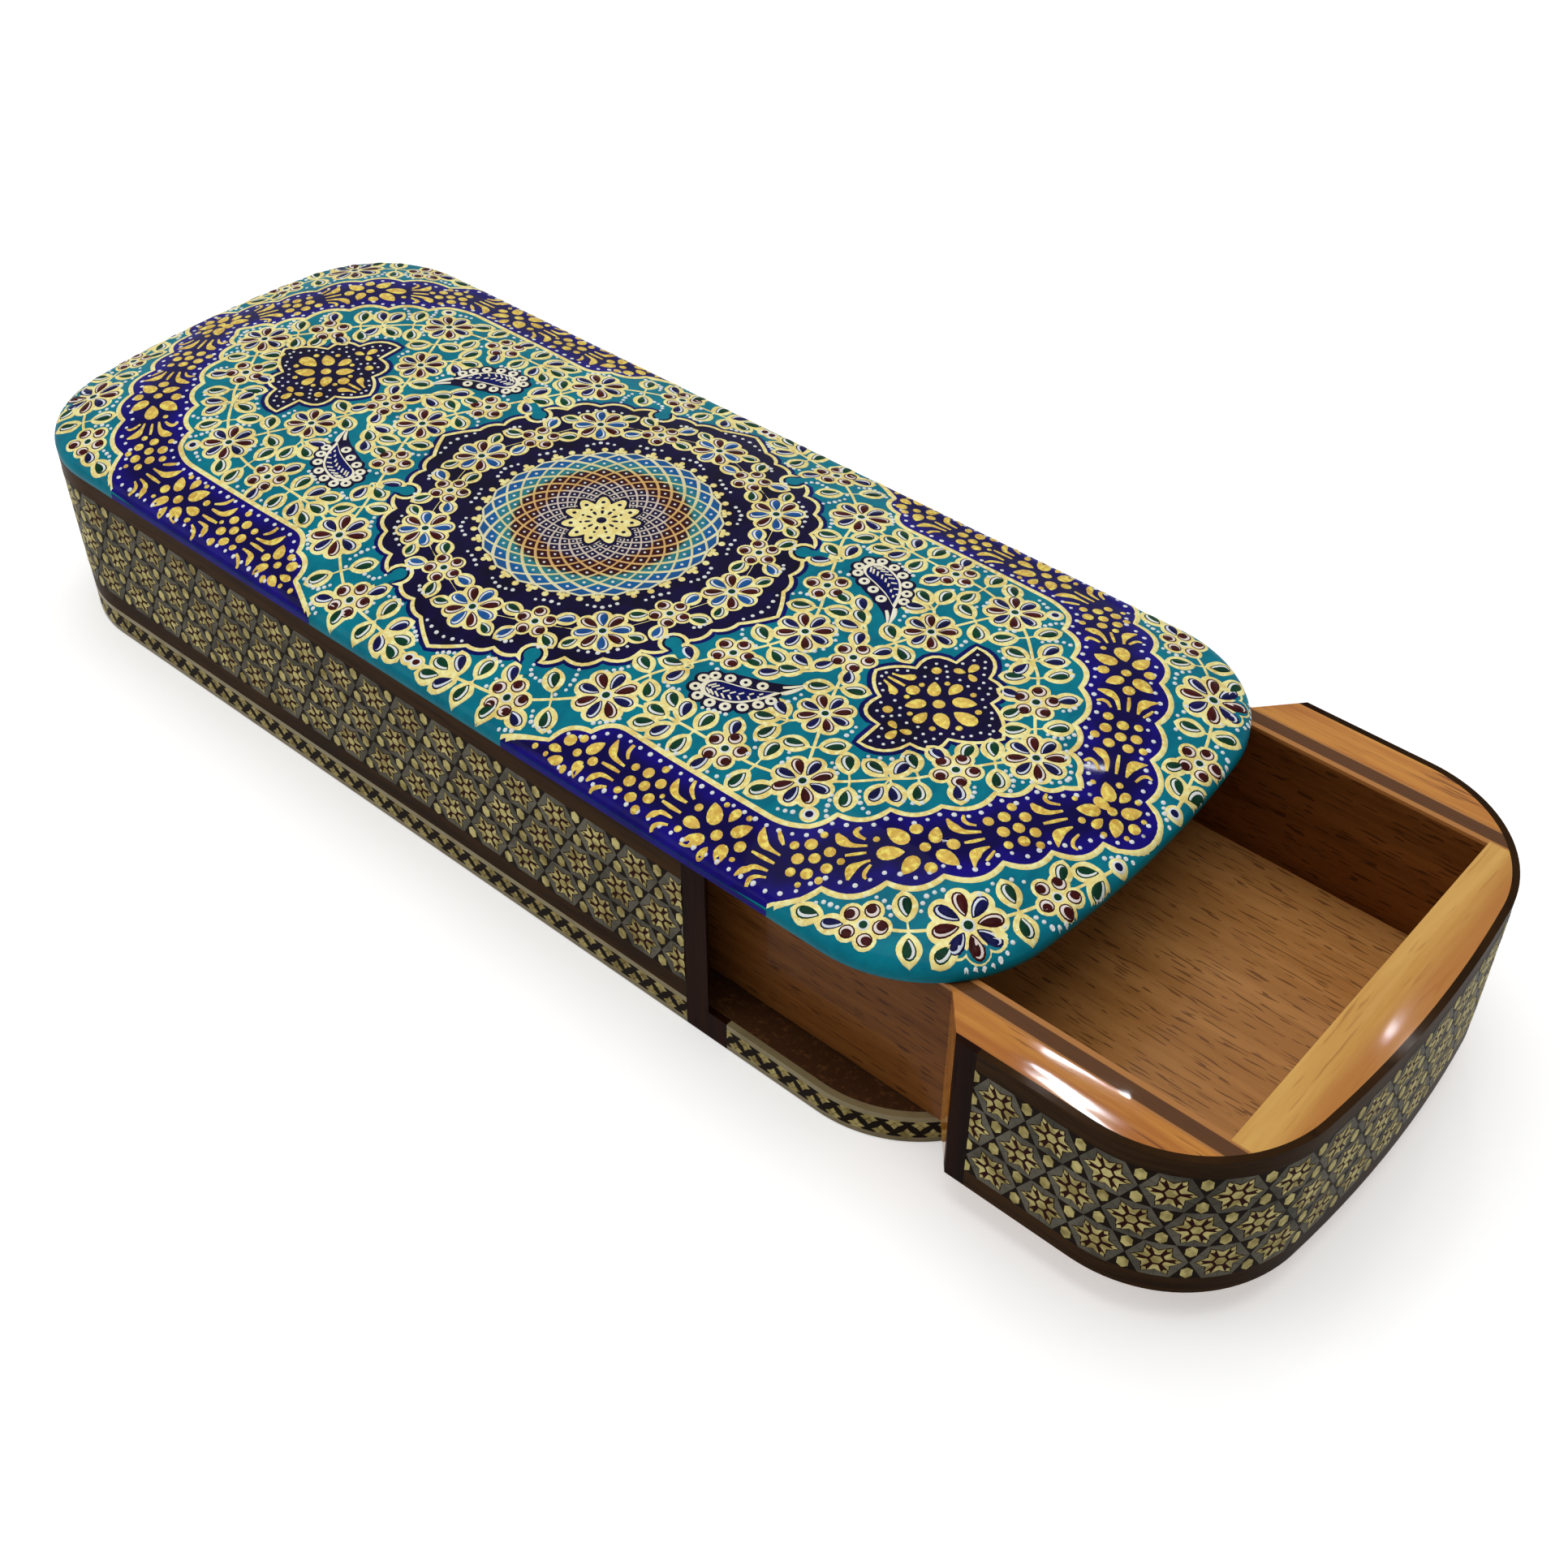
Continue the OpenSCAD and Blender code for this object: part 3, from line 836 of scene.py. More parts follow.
lattice_paint = finish("lattice_paint", ring_face(
    (0.0, (12, 8, 34)), (0.34, (24, 16, 44)), (0.53, (40, 24, 60)), (0.555, (40, 14, 28)),
    (0.575, (60, 14, 6)), (0.735, (56, 14, 8)), (0.755, (48, 46, 42)), (0.78, (48, 130, 134)),
    (0.875, (44, 132, 152)), (0.905, (20, 100, 170)), (1.0, (36, 92, 150))), **GLOSS)
rim = []
for k in range(SPIRALS):
    foot, tip = polar(LATTICE_RIM, 360 * k / SPIRALS), polar(LATTICE_TIPS, 360 * (k + 0.5) / SPIRALS)
    foot_after = polar(LATTICE_RIM, 360 * (k + 1) / SPIRALS)
    rim += [foot, part_way(foot, tip, 0.5), tip, part_way(tip, foot_after, 0.5)]
lattice_shares = [1, 0.92, 0.84, 0.76, 0.68, 0.6, 0.52, 0.44, 0.36, 0.28, 0.2, 0.1]
rayed("lattice_ground", rim, (0, 0), lattice_shares, LATTICE_LIFT, lattice_paint)
spiral_lines = [wide(rim + rim[:1], RIM_LINE)]
for way, width in ((1, 0.66), (-1, 0.95)):
    for k in range(SPIRALS):
        rows = [LATTICE_ROWS * j / SPIRAL_STEPS for j in range(SPIRAL_STEPS + 1)]
        turns = [360 * k / SPIRALS + way * row * 180 / SPIRALS for row in rows]
        line = [polar(lattice_row(row), turn) for row, turn in zip(rows, turns)]
        spiral_lines.append(wide(line, width, SPIRAL_END))
lattice_gold = finish("lattice_gold_paint", ring_face(
    (0.0, (214, 202, 190)), (0.53, (224, 210, 194)), (0.57, (222, 176, 112)), (0.72, (230, 188, 116)),
    (0.77, (236, 222, 156)), (1.0, (244, 238, 196))), Metallic=0.08, **GLOSS)
brushed("lattice_spirals", spiral_lines, lattice_gold, SPIRAL_RISE)


# Pendants: a lobed navy lozenge at each end of the medallion's long axis, painted over the turquoise
# and outlined like the medallion, in gold with a dark blue shadow line round it.
PENDANT_MIDDLE = 76.5
pendant_half = scallops([(90.3, 0, 0.1), (83.7, 5.8, 0.33), (79.7, 10.7, 0.23), (73.2, 15.8, 0),
                         (73.0, 10.3, 0.33), (68.8, 4.8, 0.1), (64.1, 0, 0)], 6)
pendant = pendant_half + [(x, -y) for x, y in pendant_half[-2:0:-1]]
pendant_lines = []
for name, way in (("pendant_front", 1), ("pendant_rear", -1)):
    edge = [(way * x, way * y) for x, y in pendant]
    rayed(name, edge, (way * PENDANT_MIDDLE, 0), [1, 0.8, 0.6, 0.4, 0.2], FIELD_LIFT, navy)
    pendant_lines.append(edge + edge[:1])
shadow_lines = [wide(line, SHADOW_WIDTH) for line in pendant_lines]
brushed("pendant_shadow_lines", shadow_lines, shadow_blue, SHADOW_RISE)
brushed("pendant_gold_lines", [wide(line, 1.0) for line in pendant_lines], gold, OUTLINE_RISE)


# Boteh: four drop-shaped navy leaves with a bent tail, painted over the turquoise. Each has a dark blue
# heart veined in cream, and a fringe of cream loops with a dark spot in each.
QUARTERS = [(1, 1), (1, -1), (-1, 1), (-1, -1)]


def in_quarter(quarter, line):
    """Points laid out for the quarter near the drawer's right-hand side, mirrored into another quarter."""
    return [(quarter[0] * p[0], quarter[1] * p[1], *p[2:]) for p in line]


boteh_edge = smooth([(58.1, -10.3), (57.0, -14.2), (56.0, -17.4), (54.6, -20.0), (52.0, -22.4), (49.3, -24.1),
                     (46.7, -24.7), (44.3, -23.8), (43.1, -21.6), (43.7, -19.0), (45.3, -17.3), (48.0, -15.8),
                     (50.7, -14.8), (53.4, -13.7), (55.8, -12.3), (58.1, -10.3)], 4)
boteh_heart = smooth([(55.6, -15.2), (54.8, -17.4), (53.6, -19.6), (51.7, -21.6), (49.0, -22.8),
                      (46.6, -23.0), (45.2, -21.9), (45.2, -20.4), (46.4, -19.2), (49.3, -18.3),
                      (52.7, -17.0), (55.6, -15.2)], 4)
boteh_spine = [(45.6, -21.7), (49.6, -20.8), (54.4, -17.2)]
boteh_tails = ([(55.4, -13.6, 0.8), (56.6, -12.4, 0.9), (58.0, -10.5, 0.2)],
               [(56.2, -15.0, 1.1), (57.2, -13.2, 1.1), (58.2, -10.6, 0.2)])
LOOPS, LOOP_OUT, FIRST_LOOP, LOOP_SPAN = 12, 1.3, 0.075, 0.85
VEIN_LONG, VEIN_TAPER, VEIN_GAP, VEIN_RISE, TAIL_RISE = 1.5, 0.1, 0.35, 0.25, 0.15
boteh_fringe = []
for k in range(LOOPS):
    step = (FIRST_LOOP + LOOP_SPAN * k / (LOOPS - 1)) * (len(boteh_heart) - 1)
    a, b = boteh_heart[int(step)], boteh_heart[int(step) + 1]
    x, y = part_way(a, b, step - int(step))
    out = math.atan2(a[0] - b[0], b[1] - a[1])
    boteh_fringe.append((x - LOOP_OUT * math.cos(out), y - LOOP_OUT * math.sin(out)))
cream = finish("cream_paint", paint_face((252, 248, 226), (240, 232, 202)), **GLOSS)
vein_lines, tail_lines = [], []
for k, quarter in enumerate(QUARTERS):
    edge, heart = in_quarter(quarter, boteh_edge[:-1]), in_quarter(quarter, boteh_heart[:-1])
    if quarter[0] * quarter[1] > 0:
        edge, heart = edge[::-1], heart[::-1]
    middle = centre_of(heart)
    rayed(f"boteh_{k}", edge, middle, [1, 0.8, 0.6, 0.3], FIELD_LIFT, navy)
    for part, share, lift, paint in (("rim", 1.1, 0.09, cream), ("heart", 0.93, 0.11, shadow_blue)):
        rayed(f"boteh_{part}_{k}", shrunk(heart, share), middle, [1, 0.7, 0.4], lift, paint)
    spine = smooth(in_quarter(quarter, boteh_spine), 4)
    for spot in spine[:-1]:
        long = VEIN_LONG - VEIN_TAPER * abs(spot[0] - spine[0][0])
        for x, y in ((0.5, 0.85), (0.95, -0.5)):
            foot = (spot[0] + quarter[0] * x * VEIN_GAP, spot[1] + quarter[1] * y * VEIN_GAP)
            tip = (foot[0] + quarter[0] * x * long, foot[1] + quarter[1] * y * long)
            vein_lines.append(wide([foot, tip], 0.65, 0.5))
    tail_lines += [smooth(in_quarter(quarter, tail)) for tail in boteh_tails]
brushed("boteh_veins", vein_lines, cream, VEIN_RISE)
brushed("boteh_tails", tail_lines, cream, TAIL_RISE)


# Gold strokes: bent commas and dashes of shell gold that fill the bands and the pendants, each
# put down with one press of a loaded brush.
gold_strokes = [
    [(102.5, -5.1, 0.7), (102.9, -6.1, 1.1), (103.9, -6.2, 1.0), (105.3, -5.3, 0.6)],
    [(102.0, -8.5, 0.9), (103.4, -8.7, 2.4), (105.0, -7.9, 1.4), (106.3, -6.0, 0.7)],
    [(107.7, -6.7, 0.6), (106.7, -8.5, 1.0), (105.7, -10.4, 0.7)],
    [(109.2, -7.4, 0.5), (108.7, -9.0, 1.7), (108.6, -10.4, 2.8), (109.3, -11.5, 1.5), (110.0, -12.3, 0.3)],
    [(110.7, -7.8, 0.6), (110.8, -9.4, 0.9), (111.4, -10.3, 1.0), (112.3, -10.3, 0.6)],
    [(96.0, -18.0, 0.7), (96.6, -18.8, 1.1), (97.6, -18.9, 0.95), (98.7, -18.3, 0.6)],
    [(94.6, -20.4, 0.6), (96.4, -21.0, 2.3), (98.2, -20.6, 1.4), (100.0, -18.8, 0.7)],
    [(101.2, -19.5, 0.6), (100.4, -21.0, 1.0), (99.5, -22.4, 0.7)],
    [(102.7, -20.2, 0.5), (102.2, -21.6, 1.5), (102.1, -23.0, 2.8), (102.8, -24.2, 1.4), (103.7, -25.2, 0.3)],
    [(103.7, -20.3, 0.6), (103.9, -21.6, 0.9), (104.0, -22.8, 0.6)],
    [(85.4, -30.3, 0.9), (85.5, -31.3, 1.4), (86.4, -31.6, 1.1), (87.6, -31.5, 0.7)],
    [(83.4, -33.2, 0.9), (84.8, -33.8, 2.6), (86.6, -33.6, 1.3), (88.6, -32.3, 0.6)],
    [(89.3, -33.4, 0.6), (88.2, -34.5, 0.9), (87.0, -35.7, 0.7)],
    [(90.7, -34.2, 0.6), (89.9, -35.5, 1.1), (89.4, -37.2, 2.5), (90.2, -39.0, 0.6)],
    [(91.3, -34.8, 0.7), (91.4, -36.2, 1.0), (91.8, -37.0, 0.9), (92.4, -37.2, 0.6)],
    [(75.7, -37.9, 0.8), (76.9, -38.8, 1.2), (78.0, -39.5, 0.6)],
    [(73.3, -38.5, 0.3), (74.1, -40.0, 2.1), (75.4, -41.0, 2.1), (77.0, -41.2, 1.0), (78.8, -41.2, 0.5)],
    [(74.6, -43.0, 0.6), (76.8, -42.9, 1.0), (79.0, -42.8, 0.6)],
    [(75.1, -47.7, 0.4), (75.7, -46.3, 1.9), (76.6, -45.0, 1.5), (77.8, -44.5, 0.9), (79.0, -44.3, 0.6)],
    [(79.5, -45.3, 0.6), (78.2, -46.0, 1.0), (77.6, -47.0, 1.2), (77.9, -48.1, 0.8)],
    [(58.3, -38.0, 0.8), (58.8, -39.4, 1.2), (59.6, -40.2, 1.0), (60.6, -40.8, 0.6)],
    [(55.8, -39.2, 0.5), (56.3, -40.8, 2.1), (57.6, -41.8, 1.4), (60.0, -41.9, 0.7)],
    [(56.4, -43.7, 0.7), (58.4, -43.8, 1.05), (60.5, -43.8, 0.6)],
    [(56.4, -47.5, 0.6), (56.9, -46.4, 1.8), (57.7, -45.4, 1.4), (59.9, -45.3, 0.7)],
    [(60.3, -46.6, 0.6), (59.0, -47.2, 1.0), (58.3, -48.0, 1.1), (58.5, -48.6, 0.7)],
    [(45.1, -38.3, 1.0), (45.2, -39.6, 1.1), (45.7, -40.4, 0.9), (46.2, -40.9, 0.6)],
    [(42.2, -38.9, 0.4), (42.8, -40.7, 2.2), (44.0, -41.8, 1.4), (46.7, -42.2, 0.6)],
    [(43.0, -43.6, 0.7), (45.0, -43.5, 1.05), (46.8, -43.5, 0.6)],
    [(43.2, -47.6, 0.6), (43.7, -46.4, 1.8), (44.6, -45.4, 1.4), (47.0, -45.2, 0.7)],
    [(47.0, -46.7, 0.6), (45.9, -47.3, 1.0), (45.1, -48.0, 1.0), (45.0, -48.6, 0.7)],
    [(66.7, -1.1, 0.55), (68.2, -1.5, 0.9), (69.6, -2.3, 2.1), (70.0, -3.1, 1.1)],
]
strokes = [smooth(in_quarter(quarter, line)) for quarter in QUARTERS for line in gold_strokes]
strokes += [smooth([(way * 66.7, 0, 0.6), (way * 68.5, 0, 0.85), (way * 70.3, 0, 0.7)]) for way in (1, -1)]
deep_gold = finish("deep_gold_paint", paint_face((234, 200, 100), (198, 154, 62), 0.8), Metallic=0.1, **GLOSS)
STROKE_RISE = 0.18
brushed("gold_strokes", strokes, deep_gold, STROKE_RISE)


# Flowers, berries, leaves, drops and dots: each motif is a pad of gold with dark petals on it, a pale
# loop in each petal and a dark core in each loop, pressed on with the tip of a brush, paint after paint.
RIM_DEPTH, RIM_CUTS, BIG_PAD, LEAF_HALF_STEPS = 5.5, 2, 2.5, 8


def stamp_tree():
    """Stamps pressed on the panel at points that carry a stamp number, a turn and a size.
    Those with a bend lie on the rounded rim and are cut finer, so that they follow it."""
    tree, given = new_tree("brush_stamps", Stamps="Collection", Panel="Object", Paint="Material")
    spots = given["Geometry"]
    kinds = spots.node("GeometryNodeCollectionInfo", {"transform_space": "ORIGINAL"},
                       {"Collection": given["Stamps"], "Separate Children": True, "Reset Children": True})
    which, turn, size = spots.attribute("stamp", "INT"), spots.attribute("turn"), spots.attribute("size")
    euler = turn.node("ShaderNodeCombineXYZ", {}, {"Z": turn})
    flat_size = size.node("ShaderNodeCombineXYZ", {}, {"X": size, "Y": size, "Z": 1.0})
    pressed = spots.node("GeometryNodeInstanceOnPoints", {}, {
        "Points": spots, "Instance": kinds, "Pick Instance": True, "Instance Index": which,
        "Rotation": euler.node("FunctionNodeEulerToRotation", {}, {"Euler": euler}), "Scale": flat_size})
    real = pressed.node("GeometryNodeRealizeInstances", {}, {"Geometry": pressed})
    bend = real.attribute("bend")
    on_rim = real.node("GeometryNodeSeparateGeometry", {}, {"Geometry": real, "Selection": bend})
    inside = on_rim.socket.node.outputs["Inverted"]
    fine = on_rim.node("GeometryNodeSubdivideMesh", {}, {"Mesh": on_rim, "Level": RIM_CUTS})
    all_marks = fine.node("GeometryNodeJoinGeometry", {}, {"Geometry": fine})
    tree.links.new(inside, all_marks.socket.node.inputs["Geometry"])
    high = all_marks.stored("rise", all_marks.node("GeometryNodeInputPosition").part(2))
    return end_tree(tree, drop_on_panel(high, given["Panel"], high.attribute("rise"), given["Paint"]))


brush_stamps = stamp_tree()


def disc(radius, x=0.0, y=0.0, steps=12):
    turns = [2 * math.pi * k / steps for k in range(steps)]
    return [(x + radius * math.cos(turn), y + radius * math.sin(turn)) for turn in turns]


def petal(start, length, width, turn=0.0, steps=14):
    """A drop that lies along a turn, with its point at the start and its round end outwards."""
    shape = []
    for k in range(steps):
        t = 2 * math.pi * k / steps
        x = start + length * (1 - math.cos(t)) / 2
        y = -width / 2 * math.sin(t) * max(math.sin(t / 2), 0.0) ** 0.6 * 1.1
        c, s = math.cos(math.radians(turn)), math.sin(math.radians(turn))
        shape.append((x * c - y * s, x * s + y * c))
    return shape


def almond(start, length, width):
    """A leaf that lies along x, pointed at both ends."""
    shares = [k / LEAF_HALF_STEPS for k in range(LEAF_HALF_STEPS + 1)]
    half = [(start + length * share, width / 2 * math.sin(math.pi * share) ** 0.7) for share in shares]
    return [(x, -y) for x, y in half] + half[-2:0:-1]


def lobed(base, rise, lobes, steps):
    """A pad with rounded lobes, one behind each petal."""
    return [polar(base + rise * abs(math.cos(math.pi * lobes * k / steps)) ** 0.7, 360 * k / steps)
            for k in range(steps)]


def stamp_mesh(name, pads):
    """Pads of paint from (outline, height): each rim lies just under the surface, and its top is domed."""
    points, faces = [], []
    for outline, height in pads:
        middle = centre_of(outline)
        first, count = len(points), len(outline)
        if max(math.dist(middle, p) for p in outline) > BIG_PAD:
            levels, dome = [(1.0, -SUNK), (0.93, height), (0.5, height + 0.006)], height + 0.01
        else:
            levels, dome = [(1.0, -SUNK), (0.86, height)], height + 0.02
        for share, level in levels:
            points += [(x * MM, y * MM, level * MM) for x, y in shrunk(outline, share)]
        points.append((middle[0] * MM, middle[1] * MM, dome * MM))
        for ring in range(len(levels)):
            innermost = ring == len(levels) - 1
            for k in range(count):
                a, b = first + ring * count + k, first + ring * count + (k + 1) % count
                faces.append((a, b, len(points) - 1) if innermost else (a, b, b + count, a + count))
    mesh = bpy.data.meshes.new(name)
    mesh.from_pydata(points, [], faces)
    return mesh


PAD, EDGE, LOOP, CORE = 0.05, 0.075, 0.1, 0.125
ODD, EVEN, FIVE = range(0, 360, 90), range(45, 360, 90), range(0, 360, 72)


def petals(turns):
    """The dark edge of each petal, and the dark core that lies in its pale loop."""
    edges = [(petal(1.0, 4.25, 2.5, turn), EDGE) for turn in turns]
    return edges + [(petal(1.4, 3.35, 1.5, turn - 3), CORE) for turn in turns]


def petal_loops(turns):
    return [(petal(1.3, 3.65, 1.9, turn), LOOP) for turn in turns]


stamps = {
    "flower_pad": [(lobed(4.85, 0.95, 8, 64), PAD)],
    "berry_pad": [(disc(1.95, *polar(2.6, turn), 14), PAD) for turn in FIVE] + [(disc(2.9, steps=14), PAD)],
    "leaf_pad": [(almond(-2.7, 5.9, 4.2), PAD)],
    "bud_pad": [(disc(1.75, steps=18), PAD)],
    "petals_odd": petals(ODD),
    "petals_even": petals(EVEN),
    "loops_odd": petal_loops(ODD),
    "loops_even": petal_loops(EVEN),
    "berries": [(disc(1.42, *polar(2.6, turn)), EDGE) for turn in FIVE]
               + [(disc(0.92, *polar(2.78, turn + 5)), CORE) for turn in FIVE],
    "berry_loops": [(disc(1.15, *polar(2.6, turn)), LOOP) for turn in FIVE],
    "leaf_dark": [(petal(-1.95, 4.3, 2.75), EDGE),
                  ([(x, y - 0.26) for x, y in petal(-1.5, 3.4, 1.65)], CORE)],
    "leaf_loop": [(petal(-1.65, 3.7, 2.15), LOOP)],
    "eye_ring": [(disc(1.05), LOOP)],
    "eye": [(disc(0.75), CORE)],
    "bud_ring": [(disc(1.2), LOOP)],
    "bud_heart": [(disc(0.8), CORE)],
    "loop_shadow": [(disc(1.7, steps=16), 0.055)],
    "loop_ring": [(disc(1.15, steps=14), 0.08)],
    "loop_heart": [(disc(0.4, steps=9), 0.12)],
    "drop": [(petal(-2.0, 4.0, 2.75), 0.1)],
    "seed": [(disc(1.0, steps=11), 0.1)],
    "finial": [(disc(0.58, 0.95, 0), 0.1), (disc(0.52, 0.1, 0.74), 0.1), (disc(0.52, 0.1, -0.74), 0.1),
               (disc(0.62, 0.2, 0), 0.1)],
    "dot": [(disc(0.41, steps=8), 0.09)],
    "prick": [(disc(0.55, steps=10), 0.26)],
    "pip": [(petal(-0.7, 1.4, 0.75, steps=8), 0.26)],
}
stamp_numbers = {label: k for k, label in enumerate(stamps)}
LAST_LAYERED = stamp_numbers["bud_heart"]
tray = bpy.data.collections.new("stamps")
bpy.context.scene.collection.children.link(tray)
for label, k in stamp_numbers.items():
    tray.objects.link(bpy.data.objects.new(f"{k:02d}_{label}", stamp_mesh(label, stamps[label])))
marks = {}


def press(paint, stamp, x, y, turn=0.0, size=1.0):
    marks.setdefault(paint, []).append((stamp_numbers[stamp], x, y, turn, size))


LOOP_PAINTS = {"green": "white", "navy_blue": "ice", "sky": "white", "maroon": "blush"}


def flower(x, y, turn=0, size=1.0, blue="navy_blue"):
    for paint, stamp in (("gold", "flower_pad"), (blue, "petals_odd"), ("maroon", "petals_even"),
                         (LOOP_PAINTS[blue], "loops_odd"), ("blush", "loops_even"), ("white", "eye_ring"),
                         ("green", "eye")):
        press(paint, stamp, x, y, turn, size)


def leaf(joint, tip, size=1.0, paint="green"):
    """A leaf round a middle point, pointing away from its joint."""
    turn = math.degrees(math.atan2(tip[1] - joint[1], tip[0] - joint[0]))
    for layer, stamp in (("gold", "leaf_pad"), (paint, "leaf_dark"), (LOOP_PAINTS[paint], "leaf_loop")):
        press(layer, stamp, *tip, turn, size)


def berries(x, y, turn=0, size=1.0, leaves=()):
    for lx, ly, paint in leaves:
        leaf((x, y), (lx, ly), 0.92 * size, paint)
    for paint, stamp in (("gold", "berry_pad"), ("maroon", "berries"), ("blush", "berry_loops"),
                         ("white", "eye_ring"), ("green", "eye")):
        press(paint, stamp, x, y, turn, size)


def dotted(line, count, size=1.0):
    """White dots at even steps along a soft line."""
    soft = smooth(line, 12)
    total, passed, k = reach(soft), 0.0, 0
    for a, b in zip(soft, soft[1:]):
        step = math.dist(a, b)
        while k < count and passed + step >= total * k / max(count - 1, 1) - 1e-9:
            spot = part_way(a, b, (total * k / max(count - 1, 1) - passed) / step)
            press("white", "dot", *spot, 0, size * (0.85 + 0.3 * ((k * 7) % 5) / 4))
            k += 1
        passed += step


for k in range(8):
    turn = 45 * k
    spot = polar(31.8, turn)
    for side in (-1, 1):
        foot = polar(5.9, turn + side * 68)
        leaf(spot, (spot[0] + foot[0], spot[1] + foot[1]), 0.78)
    flower(*spot, turn, 1.0, "sky")
    far = 39.6 if k % 2 == 0 else 37.4
    dotted([polar(far - 0.9, turn - 6.5), polar(far, turn), polar(far - 0.9, turn + 6.5)], 6)
    dotted([polar(24.7, turn - 6), polar(25.4, turn), polar(24.7, turn + 6)], 5)
    turn = turn + 22.5
    spot = polar(30.2, turn)
    sides = ((46, "green"), (112, "sky"), (-46, "sky"), (-112, "green"))
    tips = [(polar(5.2, turn + side), paint) for side, paint in sides]
    berries(*spot, turn + 36, 0.95, [(spot[0] + tip[0], spot[1] + tip[1], paint) for tip, paint in tips])
    for side in (-1, 1):
        dotted([polar(35.4, turn + side * 8), polar(36.0, turn + side * 5.6),
                polar(35.6, turn + side * 3.4)], 4)
    dotted([polar(25.0, turn - 5), polar(24.6, turn), polar(25.0, turn + 5)], 4)
medallion_stem = wide([polar(31.0 + 0.6 * math.cos(math.radians(8 * a)), a) for a in range(0, 361, 3)], 1.0)

for k in range(SPIRALS):
    turn = 360 * k / SPIRALS
    press("gold", "finial", *polar(LATTICE_RIM + 0.75, turn), turn)
    press("gold", "seed", *polar(LATTICE_TIPS + 0.85, turn + 180 / SPIRALS), 0, 0.7)
    for row in range(1, LATTICE_ROWS):
        spot = polar(lattice_row(row), turn + (row + 1) * 180 / SPIRALS)
        press("white", "dot", *spot, 0, 0.88 - 0.03 * row)

field_stems = [
    [(33.8, -33.2), (44.7, -30.8), (57.7, -30.4), (63.9, -30.2), (72.2, -28.2)],
    [(33.8, -33.2), (36.4, -25.2), (39.6, -19.0), (43.2, -12.3), (46.3, -6.7), (48.7, -0.4)],
    [(72.2, -28.2), (78.0, -23.7), (82.4, -19.2), (85.7, -16.0), (89.0, -10.8), (92.7, -5.4), (96.8, -0.4)],
    [(72.2, -28.2), (68.7, -21.5), (64.9, -14.0), (62.0, -7.7), (59.2, -0.6)],
    [(97.0, -43.6), (103.0, -40.3), (109.0, -33.8), (113.0, -26.3),
     (115.2, -19.8), (117.6, -11.4), (118.3, -7.8)],
    [(0.0, -46.0), (9.6, -44.5), (12.4, -44.1), (20.0, -42.8), (26.7, -39.0), (33.8, -33.2)],
    [(97.0, -43.6), (92.4, -45.6), (90.0, -46.2)],
    [(61.4, -19.2), (63.2, -17.0), (64.9, -14.0)],
    [(56.2, -7.0), (58.0, -5.0), (59.2, -2.0)],
]
field_flowers = [(33.8, -33.2, 11, 1.06), (64.8, -14.0, 4, 0.94), (72.1, -28.2, 8, 1.0),
                 (109.0, -33.7, 12, 1.14)]
field_berries = [
    (43.2, -12.3, 15, 1.0, [(47.0, -11.7, "green")]),
    (57.7, -30.4, 20, 1.0, [(55.9, -26.2, "navy_blue"), (56.4, -34.8, "navy_blue")]),
    (20.0, -42.8, 18, 1.04, [(17.3, -38.9, "navy_blue"), (24.2, -45.0, "navy_blue"), (19.2, -46.2, "green")]),
    (89.0, -10.8, 30, 1.04, [(84.8, -9.9, "navy_blue"), (92.4, -14.4, "navy_blue"), (87.7, -6.4, "green")]),
    (115.3, -19.7, 50, 0.98, [(113.2, -16.0, "green")]),
    (97.0, -43.5, 25, 1.0, [(93.2, -45.9, "navy_blue")]),
]
